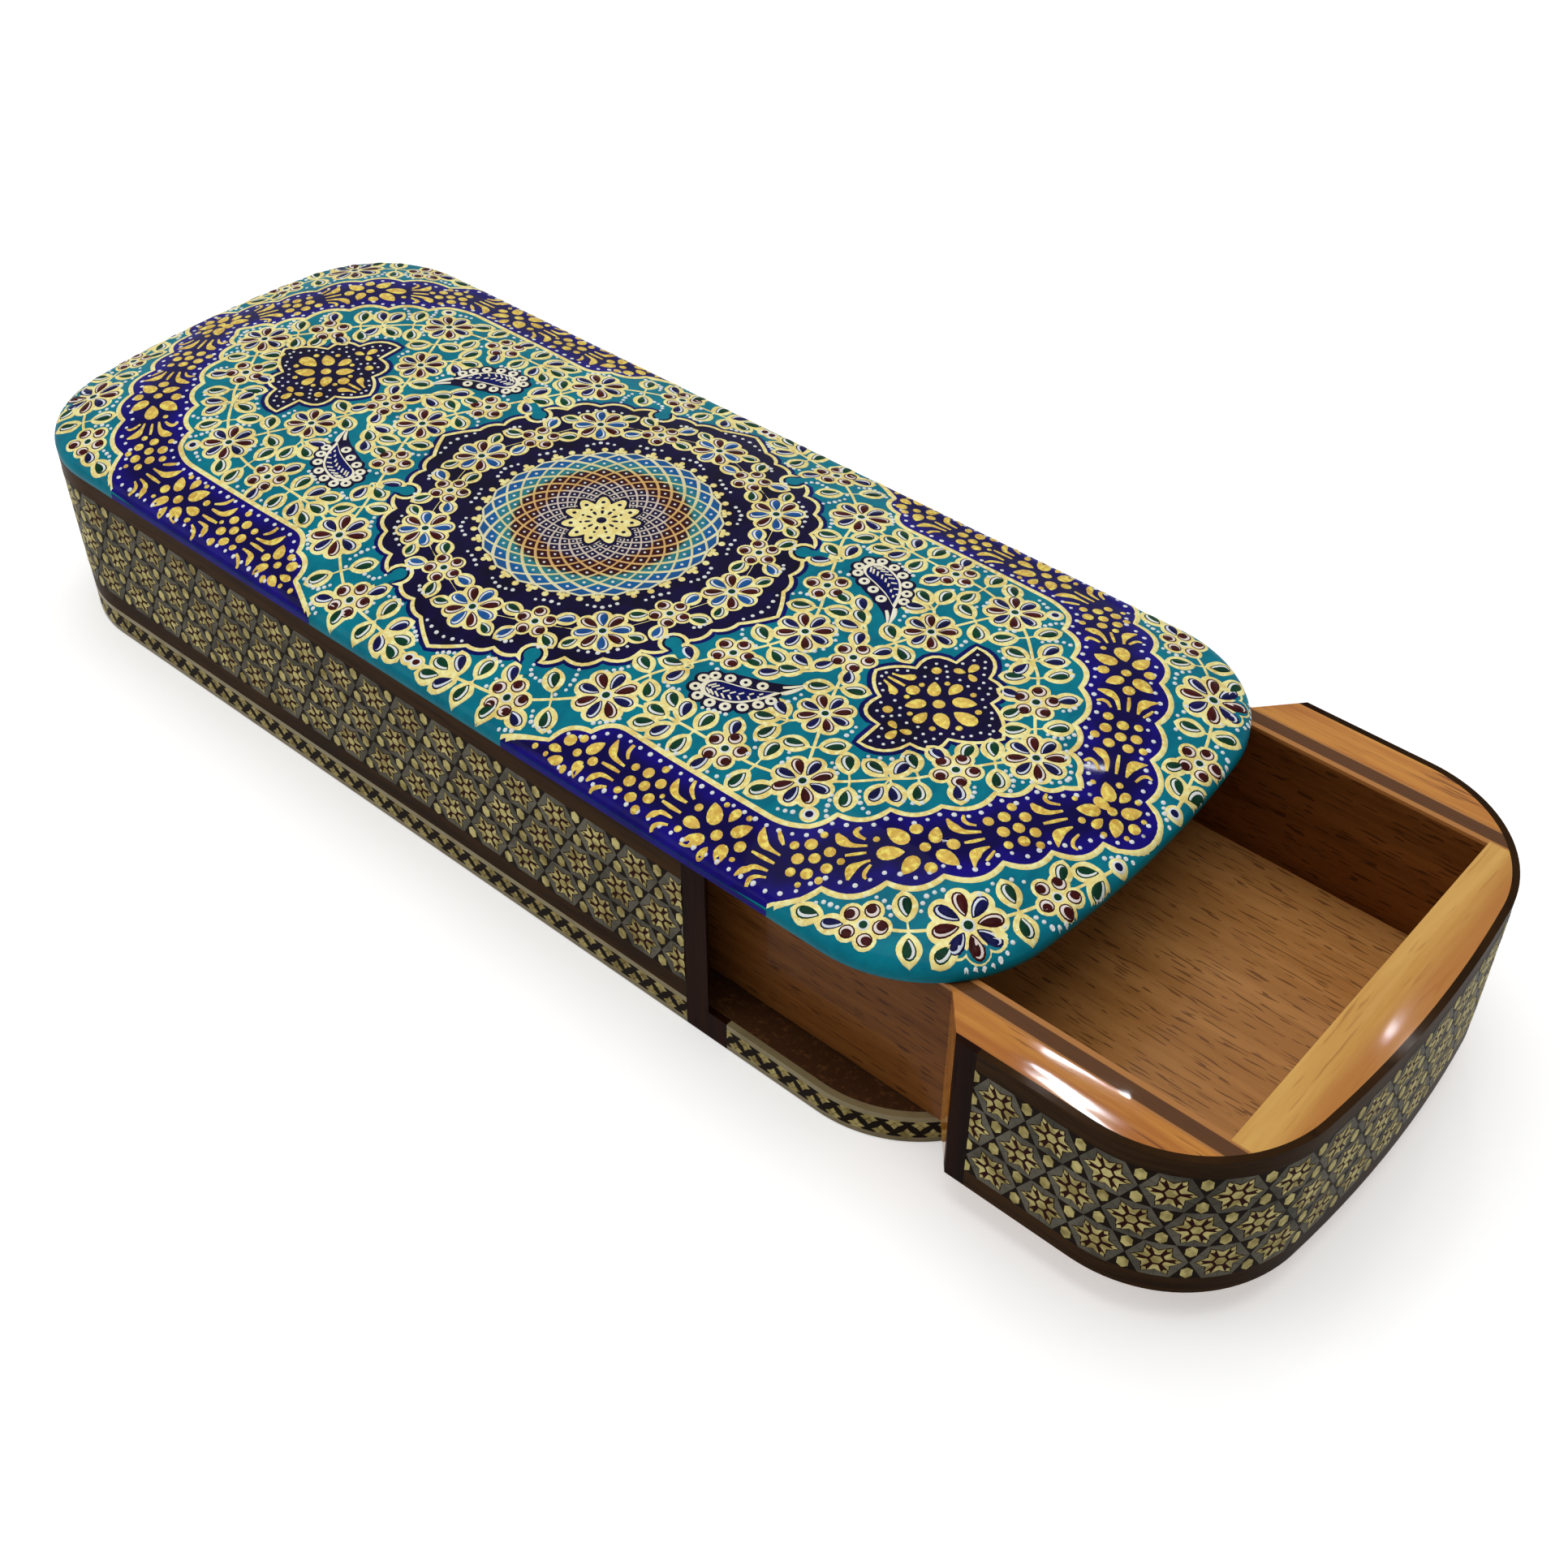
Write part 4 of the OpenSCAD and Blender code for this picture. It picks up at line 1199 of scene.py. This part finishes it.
field_leaves = [
    ((46.3, -6.7), [(43.6, -5.2, "green"), (49.2, -7.9, "green")]),
    ((36.4, -25.3), [(33.8, -24.0, "green"), (38.6, -27.9, "green")]),
    ((51.0, -30.7), [(51.0, -27.8, "green"), (51.0, -33.9, "green")]),
    ((26.7, -39.0), [(24.2, -36.0, "green"), (28.8, -42.3, "green")]),
    ((12.4, -44.1), [(12.3, -40.6, "green"), (12.5, -46.0, "green")]),
    ((62.0, -7.7), [(64.7, -6.4, "green"), (59.8, -9.3, "green")]),
    ((68.7, -21.5), [(70.9, -19.2, "green"), (65.8, -22.6, "green")]),
    ((78.0, -23.7), [(75.3, -20.9, "green"), (79.8, -26.8, "green")]),
    ((85.7, -16.0), [(82.7, -13.9, "green"), (87.8, -18.6, "green")]),
    ((92.7, -5.4), [(90.6, -3.2, "green"), (95.2, -8.0, "green")]),
    ((117.8, -10.4), [(115.8, -12.4, "green"), (118.7, -13.4, "green")]),
    ((113.0, -26.3), [(110.2, -25.0, "green"), (115.1, -27.6, "green")]),
    ((103.0, -40.3), [(100.2, -37.6, "green"), (104.8, -42.4, "green")]),
    ((63.9, -30.3), [(63.7, -26.3, "green"), (63.7, -33.9, "green")]),
    ((70.4, -30.6), [(68.0, -33.3, "green")]),
    ((109.4, -37.0), [(109.3, -39.6, "green")]),
    ((92.0, -45.6), [(89.0, -46.5, "green")]),
    ((40.6, -19.4), [(37.6, -17.4, "navy_blue"), (37.4, -20.6, "green"), (39.9, -22.6, "navy_blue")]),
    ((56.4, -7.0), [(53.2, -6.4, "navy_blue"), (53.2, -9.2, "green"), (51.2, -12.0, "navy_blue")]),
    ((47.8, -30.8), [(43.6, -27.6, "green"), (46.6, -28.0, "navy_blue"), (43.2, -30.8, "green"),
                     (43.2, -33.8, "green"), (46.5, -33.4, "navy_blue")]),
    ((9.6, -44.5), [(5.2, -43.9, "green"), (7.8, -42.2, "navy_blue"), (8.2, -46.3, "navy_blue"),
                    (4.9, -46.5, "green")]),
    ((82.4, -19.2), [(79.3, -18.8, "green"), (82.2, -16.4, "navy_blue"), (85.0, -21.3, "navy_blue"),
                     (83.0, -23.0, "navy_blue")]),
    ((61.4, -19.2), [(58.6, -17.8, "navy_blue"), (58.0, -20.8, "green"), (60.6, -23.2, "green")]),
]
field_buds = [(77.4, -32.8, "navy_blue"), (118.3, -7.8, "navy_blue"), (0.9, -46.0, "maroon")]
field_dots = [
    ([(70.7, -13.3), (70.9, -14.6), (70.8, -15.8)], 3), ([(73.2, -22.3), (74.3, -22.8), (75.3, -23.6)], 3),
    ([(80.6, -24.4), (81.4, -25.6), (83.2, -26.9), (84.5, -27.1)], 5),
    ([(87.2, -21.8), (88.6, -21.2), (89.6, -20.2)], 3),
    ([(77.7, -27.7), (78.4, -29.4), (79.0, -30.7), (79.8, -31.5)], 5),
    ([(72.7, -34.8), (73.9, -34.4), (75.0, -33.9)], 3),
    ([(95.7, -38.8), (97.3, -38.6), (98.4, -39.1), (99.3, -39.9)], 4),
    ([(102.4, -36.6), (101.4, -34.2), (102.6, -31.6)], 5),
    ([(88.7, -44.5), (89.6, -43.8), (91.9, -43.4)], 4), ([(101.7, -2.6), (102.7, -1.3), (103.1, -0.3)], 3),
    ([(95.0, -5.7), (96.6, -6.1), (97.8, -7.5), (98.1, -8.7)], 5),
    ([(93.6, -12.0), (94.5, -13.4), (94.4, -15.0)], 4),
    ([(119.2, -5.1), (117.4, -6.3), (115.9, -8.2)], 5), ([(118.6, -22.0), (118.0, -24.3), (115.2, -25.1)], 5),
    ([(110.2, -21.5), (108.7, -22.6)], 2), ([(107.2, -25.4), (107.4, -27.0), (107.0, -28.4)], 3),
    ([(113.0, -39.2), (115.2, -36.4), (115.8, -33.0)], 6), ([(39.2, -35.6), (38.5, -36.8), (36.2, -38.7)], 5),
    ([(27.4, -36.2), (26.6, -37.9)], 2), ([(25.8, -42.4), (27.6, -44.4), (31.2, -43.9)], 7),
    ([(23.4, -48.0), (25.6, -47.2)], 3), ([(18.8, -35.3), (19.8, -37.0), (22.3, -37.2)], 5),
    ([(26.0, -31.7), (27.0, -33.9), (27.2, -35.0)], 4), ([(14.4, -38.4), (13.9, -38.0), (11.0, -38.4)], 4),
    ([(2.6, -42.6), (3.6, -41.8), (5.2, -41.0)], 4), ([(39.6, -25.2), (41.2, -25.6), (42.6, -25.0)], 4),
    ([(48.6, -25.8), (49.8, -25.4), (52.6, -24.6)], 5), ([(40.2, -6.6), (41.6, -8.0), (44.8, -8.4)], 5),
    ([(50.8, -5.0), (52.6, -3.6), (54.0, -1.6)], 4), ([(58.8, -13.0), (58.6, -14.8), (57.8, -17.0)], 4),
    ([(60.4, -26.0), (61.4, -27.4), (61.4, -29.0)], 3), ([(66.4, -24.8), (67.2, -26.0), (67.0, -27.2)], 3),
    ([(48.4, -36.0), (50.0, -36.0), (53.6, -35.4)], 4), ([(58.6, -35.6), (60.6, -35.4), (62.0, -34.4)], 3),
    ([(76.6, -17.4), (79.6, -15.6), (80.8, -13.8)], 4), ([(98.4, -5.8), (99.4, -4.8), (100.2, -3.6)], 3),
    ([(113.0, -30.0), (115.4, -31.2)], 2), ([(92.4, -41.0), (94.0, -39.6)], 2),
    ([(15.6, -41.0), (15.2, -43.0)], 2),
    ([(41.4, -15.4), (42.4, -16.8), (44.0, -17.2)], 3), ([(30.0, -29.2), (31.6, -27.4), (32.2, -26.2)], 4),
]
band_seeds = [
    (109.4, -5.2, 0.7), (113.3, -4.7, 0.6), (116.1, -2.4, 0.55), (106.1, -2.5, 0.55),
    (100.3, -11.3, 0.9), (103.0, -11.4, 1.1), (105.9, -12.7, 1.05), (107.9, -14.1, 0.8),
    (100.7, -13.8, 1.15), (103.6, -13.9, 1.1),
    (105.7, -15.4, 1.1), (99.5, -16.3, 1.0), (102.4, -16.3, 1.15), (104.5, -17.8, 0.85),
    (95.7, -27.2, 1.0), (98.5, -23.8, 1.2), (98.8, -29.7, 1.15), (92.4, -25.2, 1.2), (88.9, -30.5, 0.6),
    (81.9, -34.5, 0.7), (81.4, -37.0, 1.15), (84.7, -36.5, 1.05), (87.2, -36.9, 0.7),
    (79.4, -38.6, 0.85), (83.5, -38.7, 1.05),
    (86.2, -39.1, 1.05), (81.4, -40.2, 1.1), (84.3, -41.5, 1.1), (86.6, -41.4, 0.75),
    (82.0, -42.6, 0.9), (84.4, -43.7, 0.55),
    (68.0, -43.8, 1.1), (72.5, -43.4, 1.1), (62.2, -41.5, 0.8), (62.1, -46.3, 0.7),
    (65.6, -38.7, 0.55), (70.3, -38.7, 0.6), (73.0, -45.8, 0.55),
    (48.3, -41.3, 0.8), (50.9, -41.0, 1.1), (54.0, -41.5, 1.05), (49.3, -43.8, 1.15),
    (52.0, -43.2, 1.05), (54.2, -44.6, 1.1),
    (48.9, -46.1, 0.8), (51.6, -46.0, 1.15), (53.8, -47.3, 0.85), (52.8, -39.0, 0.75), (55.8, -43.1, 0.5),
    (37.2, -41.8, 0.85), (35.4, -43.2, 1.25), (38.1, -44.4, 0.85), (41.5, -44.3, 1.0),
    (38.2, -47.9, 0.7), (33.8, -47.4, 0.5), (31.2, -47.2, 0.6),
    (71.8, -6.5, 0.95), (83.4, -2.6, 0.65), (80.2, -5.5, 0.6), (75.2, -5.0, 0.55), (72.2, -2.0, 0.55),
]
band_drops = [
    (113.9, -2.2, 120, 3.9), (111.4, -3.7, -90, 2.8), (108.9, -2.7, 42, 4.2),
    (95.4, -24.2, -60, 3.6), (99.6, -26.5, 185, 4.4), (96.1, -31.4, 95, 4.3),
    (92.3, -31.3, 222, 4.6), (91.0, -28.0, -5, 4.7),
    (65.1, -41.0, -50, 4.5), (68.0, -39.6, 90, 2.9), (70.8, -41.1, 235, 3.8),
    (70.8, -46.1, 115, 3.9), (68.3, -47.4, -90, 2.5),
    (65.4, -46.6, 45, 4.3), (63.2, -44.2, 180, 3.5),
    (40.1, -42.1, 245, 3.6), (40.3, -46.7, 110, 3.4), (34.5, -45.7, 180, 2.8), (36.0, -47.4, 20, 2.9),
    (77.1, -4.6, -90, 3.4), (74.4, -2.5, 55, 3.8), (80.3, -3.0, 150, 4.3),
    (76.1, -10.9, -90, 2.7), (74.8, -8.9, 160, 2.2), (77.4, -8.9, 20, 2.2),
]
pendant_dots = [
    (74.5, -14.3), (76.6, -13.6), (74.9, -12.7), (77.5, -12.3), (74.0, -10.8), (78.4, -10.8),
    (70.7, -7.9), (72.3, -8.4), (73.3, -7.4),
    (74.2, -6.4), (76.2, -7.1), (69.9, -5.9), (73.1, -4.9), (71.3, -4.0),
    (68.2, -3.3), (66.8, -2.3), (65.8, -0.6), (78.2, -6.7),
    (79.6, -9.1), (81.3, -8.7), (81.9, -7.3), (79.9, -7.5), (82.0, -5.6),
    (83.5, -4.3), (85.1, -3.9), (86.0, -2.8), (86.7, -1.2), (88.0, -0.5),
]
FIELD_STEM, LEAF_SIZE, BUD_SIZE, PENDANT_DOT, STEM_RISE = 0.75, 0.98, 0.95, 0.8, 0.075
BAND_DROP_LENGTH, MIDDLE_DROP_LENGTH, MIDDLE_BERRIES = 3.85, 4, 59.2


def quarter_turn(quarter, turn):
    """A turn laid out for the first quarter, mirrored into another one."""
    return turn * quarter[1] if quarter[0] > 0 else 180 - turn * quarter[1]


stem_lines = [medallion_stem]
for quarter in QUARTERS:
    stem_lines += [wide(smooth(in_quarter(quarter, line)), FIELD_STEM) for line in field_stems]
    for x, y, turn, size in field_flowers:
        flower(quarter[0] * x, quarter[1] * y, quarter_turn(quarter, turn), size)
    for x, y, turn, size, leaves in field_berries:
        side = quarter_turn(quarter, turn)
        berries(quarter[0] * x, quarter[1] * y, side, size, in_quarter(quarter, leaves))
    for joint, leaves in field_leaves:
        foot = in_quarter(quarter, [joint])[0]
        for x, y, paint in in_quarter(quarter, leaves):
            leaf(foot, (x, y), LEAF_SIZE, paint)
            stem_lines.append(wide([foot, (x, y)], 0.6, 0.4))
    for x, y, paint in in_quarter(quarter, field_buds):
        for layer, stamp in (("gold", "bud_pad"), ("white", "bud_ring"), (paint, "bud_heart")):
            press(layer, stamp, x, y, 0, BUD_SIZE)
    for line, count in field_dots:
        dotted(in_quarter(quarter, line), count)
    for x, y, size in in_quarter(quarter, band_seeds):
        press("deep_gold", "seed", x, y, 0, size)
    for x, y, turn, length in band_drops:
        side = quarter_turn(quarter, turn)
        press("deep_gold", "drop", quarter[0] * x, quarter[1] * y, side, length / BAND_DROP_LENGTH)
    for x, y in in_quarter(quarter, pendant_dots):
        press("white", "dot", x, y, 0, PENDANT_DOT)
    for share, start, count in ((0.12, 12, 44), (0.87, 12, 46)):
        edge = [part_way(a, b, share) for a, b in zip(band_inner[start:], band_outer[start:])]
        dotted(in_quarter(quarter, edge[::4]), count, 1.1)
    for x, y in in_quarter(quarter, boteh_fringe):
        press("dark", "loop_shadow", x, y)
        press("cream", "loop_ring", x, y)
        press("dark", "loop_heart", x, y)
for way in (1, -1):
    flower(way * 48.6, 0)
    flower(way * 96.8, 0)
    tips = ((2.6, 4.2), (-2.4, 4.4), (2.6, -4.2), (-2.4, -4.4))
    leaves = [(way * (MIDDLE_BERRIES + x), y, "navy_blue") for x, y in tips]
    berries(way * MIDDLE_BERRIES, 0, 90, 1.0, leaves)
    for x, turn, length in ((109.7, 180, 3.6), (82.7, 0, 5.0)):
        side = quarter_turn((way, 1), turn)
        press("deep_gold", "drop", way * x, 0, side, length / MIDDLE_DROP_LENGTH)
    for x, size in ((111.6, 0.95), (115.9, 1.15), (77.3, 1.15), (71.9, 1.3)):
        press("deep_gold", "seed", way * x, 0, 0, size)

brushed("gold_stems", stem_lines, gold, STEM_RISE)
white = finish("white_paint", paint_face((244, 246, 244), (224, 228, 226)), **GLOSS)
blush = finish("blush_paint", paint_face((248, 240, 234), (232, 214, 206)), **GLOSS)
ice = finish("ice_paint", paint_face((236, 240, 246), (212, 218, 234)), **GLOSS)
maroon = finish("maroon_paint", paint_face((74, 16, 16), (44, 8, 8)), **GLOSS)
navy_blue = finish("navy_blue_paint", paint_face((20, 22, 84), (10, 10, 48)), **GLOSS)
sky_blue = finish("sky_blue_paint", paint_face((36, 98, 166), (16, 58, 118)), **GLOSS)
leaf_green = finish("leaf_green_paint", paint_face((12, 68, 44), (4, 40, 26)), **GLOSS)


def press_marks(name, layer, paint):
    """All the marks of one paint, as one piece."""
    numbers, across, up, turns, sizes = zip(*marks[layer])
    mesh = bpy.data.meshes.new(name)
    mesh.from_pydata([(x * MM, y * MM, 0) for x, y in zip(across, up)], [], [])
    bends = [float(number <= LAST_LAYERED and depth_in(x, y) < RIM_DEPTH)
             for number, x, y in zip(numbers, across, up)]
    for label, kind, values in (("stamp", "INT", numbers), ("turn", "FLOAT", list(map(math.radians, turns))),
                                ("size", "FLOAT", sizes), ("bend", "FLOAT", bends)):
        mesh.attributes.new(label, kind, "POINT").data.foreach_set("value", values)
    piece = grown(name, brush_stamps, mesh, "case", Stamps=tray, Panel=panel, Paint=paint)


for name, layer, paint in (("gold_pads", "gold", gold), ("gold_drops", "deep_gold", deep_gold),
                           ("white_marks", "white", white), ("blush_loops", "blush", blush),
                           ("ice_loops", "ice", ice), ("cream_loops", "cream", cream),
                           ("maroon_petals", "maroon", maroon), ("navy_petals", "navy_blue", navy_blue),
                           ("sky_petals", "sky", sky_blue), ("green_leaves", "green", leaf_green)):
    press_marks(name, layer, paint)


# Gilded rosette: the eye of the lattice, a flower of gold leaf with eleven points. It lies on a dark
# shadow of the same shape, with dark seeds pricked out of the gold.
ROSETTE_POINTS, ROSETTE_STEPS, ROSETTE_SHADOW_LIFT, ROSETTE_LIFT = 11, 132, 0.2, 0.23


def rosette_line(notch, point):
    """Round points with sharp notches between them."""
    steps = range(ROSETTE_STEPS)
    waves = [abs(math.cos(ROSETTE_POINTS * math.pi * k / ROSETTE_STEPS)) ** 1.3 for k in steps]
    return [polar(notch + (point - notch) * waves[k], 360 * k / ROSETTE_STEPS) for k in steps]


rayed("rosette_shadow", rosette_line(6.1, 8.1), (0, 0), [1, 0.6, 0.2], ROSETTE_SHADOW_LIFT, navy)
rayed("rosette_gold", rosette_line(5.1, 7.3), (0, 0), [1, 0.75, 0.5, 0.25], ROSETTE_LIFT, gold)
press("dark", "prick", 0, 0, 0, 2.0)
for k in range(ROSETTE_POINTS):
    turn = 360 * k / ROSETTE_POINTS
    press("dark", "prick", *polar(5.6, turn), 0, 0.85)
    press("dark", "prick", *polar(3.8, turn), 0, 0.6)
    press("dark", "pip", *polar(2.5, turn), turn, 1.05)
press_marks("rosette_seeds", "dark", navy)
for stamp in list(tray.objects):
    bpy.data.objects.remove(stamp)
bpy.data.collections.remove(tray)


# Drawer box: beech floor and back, sides of darker beech with a thin beech lining, and no handle. The
# upper edges are rubbed down and lacquered several times.
(_, SIDE_IN, _), (_, SIDE_OUT, SIDE_TOP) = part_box("drawer_side_left")
ARRIS, ARRIS_INSIDE, RUBBED, RUBBED_BELOW = 0.0003, 0.0005, 0.0005, 0.0009


def beech_face(dark, light, fleck, edged):
    """Beech with short dark rays along the grain. A rubbed upper edge is stained between two pale arrises."""
    def surface(place):
        wood = wood_face(dark, light, fleck, LONG_GRAIN, 0.12)(place)
        rays = place.noise(2500, (0.09, 1, 1), detail=0).between(0.66, 0.68)
        wood["Base Color"] = (rays * 0.65).mix(wood["Base Color"], tint(*fleck))
        if edged:
            across, up = place.part(1).sum("ABSOLUTE"), place.part(2)
            inner = across.between(SIDE_IN + ARRIS, SIDE_IN + ARRIS_INSIDE)
            outer = across.between(SIDE_OUT - ARRIS_INSIDE, SIDE_OUT - ARRIS)
            edge = up.between(SIDE_TOP - RUBBED_BELOW, SIDE_TOP - RUBBED)
            strip = (inner * (1 - outer) * 0.9).mix(tint(186, 126, 68), tint(72, 42, 23))
            wood["Base Color"] = (edge * 0.9).mix(wood["Base Color"], strip)
            wood["Coat Weight"] = 0.06 + edge * 0.15
        return wood
    return surface


beech = finish("beech", beech_face((166, 112, 57), (196, 140, 80), (84, 46, 20), False),
               Coat_Weight=0.05, Coat_Roughness=0.2, Specular_IOR_Level=0.08)
side_beech = finish("side_beech", beech_face((96, 55, 22), (132, 82, 38), (52, 27, 11), True),
                    Coat_Roughness=0.02, Specular_IOR_Level=0.03)
dress(beech, "drawer_bottom", "drawer_back")
dress(side_beech, "drawer_side_left", "drawer_side_right", "drawer_lining_left", "drawer_lining_right")


# Drawer end: a honey-coloured front block between two amber fillers, which carry the marquetry round
# the rounded end. All three are sanded level with the sides and thickly lacquered.
HONEY_END, AMBER_START = 0.1635, 0.1672


def honey_face(place):
    """Honey-coloured wood that turns amber along its outer edge."""
    grain = wood_face((196, 136, 56), (222, 172, 88), (166, 104, 38), CROSS_GRAIN, 0.6, True)(place)
    wave = place.noise(40, (1, 0.4, 1), detail=3)
    outer = (place.part(0) + wave * 0.004).between(HONEY_END, AMBER_START)
    grain["Base Color"] = (outer * 0.7).mix(grain["Base Color"], tint(178, 104, 34))
    return grain


amber_face = wood_face((170, 96, 26), (222, 154, 64), (116, 58, 16), LONG_GRAIN, 0.8, True)
honey_wood = finish("honey_wood", honey_face, Specular_IOR_Level=0.25)
amber_wood = finish("amber_wood", amber_face, Specular_IOR_Level=0.25)
dress(honey_wood, "drawer_front")
dress(amber_wood, "drawer_filler_left", "drawer_filler_right")


# Drawer marquetry: the same khatam and walnut bands carried on round the drawer's end, closed off by
# a dark strip at each slanted edge.
dress(walnut, "drawer_band_low", "drawer_band_high")
dress(dark_walnut, "drawer_strip_left", "drawer_strip_right")
dress(black_wood, "drawer_khatam")
lay_khatam("drawer_khatam_", drawer_path, drawer_line, KHATAM_PITCH / 2, "drawer")
for helper in [rear_path, front_path, drawer_path, trefoil_rod] + [rod for _, rod, _ in khatam_kinds]:
    bpy.data.objects.remove(helper)


# Camera, floor and lamps: the view of the photograph over a plain pale floor, soft light from
# above and two slim ceiling lamps that glint in the lacquer.
SENSOR, FOCAL_PIXELS, FRAME_PIXELS = 36, 2472.52, 1932
FLOOR_HALF, FLOOR_LOW = 6, -0.0002
right, down, ahead = (0.75598, 0.65459, 0.00331), (0.44925, -0.51515, -0.72993), (-0.4761, 0.5533, -0.68351)
eye = (0.22004, -0.20458, 0.26001)
lens = bpy.data.cameras.new("camera")
lens.sensor_width = SENSOR
lens.lens = SENSOR * FOCAL_PIXELS / FRAME_PIXELS
lens.clip_start = 0.01
camera = put("camera", lens)
camera.matrix_world = Matrix([[right[i], -down[i], -ahead[i], eye[i]] for i in range(3)] + [[0, 0, 0, 1]])
bpy.context.scene.camera = camera

corners = [(x * FLOOR_HALF, y * FLOOR_HALF, FLOOR_LOW) for x, y in ((-1, -1), (1, -1), (1, 1), (-1, 1))]
floor_mesh = bpy.data.meshes.new("floor")
floor_mesh.from_pydata(corners, [], [(0, 1, 2, 3)])
floor = put("floor", floor_mesh)


def seen_by_eye(tree):
    """1 for what the eye sees straight or in gloss and glass, 0 for light that falls on the object."""
    rays = tree.nodes.new("ShaderNodeLightPath").outputs
    kinds = ("Is Camera Ray", "Is Glossy Ray", "Is Transmission Ray")
    straight, gloss, glass = (Wire(tree, rays[kind]) for kind in kinds)
    return straight.sum("MAXIMUM", straight, gloss.sum("MAXIMUM", gloss, glass))


def floor_face(place):
    grain = place.noise(30, detail=2)
    return {"Base Color": grain.mix(tint(240, 240, 239), tint(248, 248, 247)), "Roughness": 0.8 + grain * 0.1,
            "Emission Color": seen_by_eye(place.tree).mix((0, 0, 0, 1), (0.42, 0.42, 0.42, 1))}


floor_mesh.materials.append(finish("floor_finish", floor_face, Emission_Strength=1.0, Specular_IOR_Level=0.1))


def lamp(name, place, aim, size, power):
    """A white panel lamp that faces its aim."""
    data = bpy.data.lights.new(name, "AREA")
    data.shape = "RECTANGLE"
    data.size, data.size_y = size
    data.energy = power
    made = put(name, data)
    made.location = place
    away = [p - a for p, a in zip(place, aim)]
    long = math.sqrt(sum(c * c for c in away))
    made.rotation_euler = (math.acos(away[2] / long), 0, math.atan2(away[1], away[0]) + math.pi / 2)


lamp("ceiling", (0.0, 0.1, 1.1), (0.0, 0, 0), (1.0, 0.8), 6)
lamp("window", (-0.7, -0.7, 0.6), (0, 0, 0.02), (0.7, 0.5), 2.5)
lamp("spot_left", (-0.26, 0.72, 1.1), (0.1, 0, 0.04), (0.08, 0.006), 0.45)
lamp("spot_right", (-0.06, 0.94, 1.1), (0.1, 0, 0.04), (0.08, 0.006), 0.45)

world = bpy.data.worlds.new("room")
world.use_nodes = True
bpy.context.scene.world = world
sky = world.node_tree.nodes["Background"]
sky.inputs["Color"].default_value = (1, 1, 1, 1)
world.node_tree.links.new((seen_by_eye(world.node_tree) * 0.7 + 0.3).socket, sky.inputs["Strength"])
bpy.context.scene.view_settings.view_transform = "Standard"
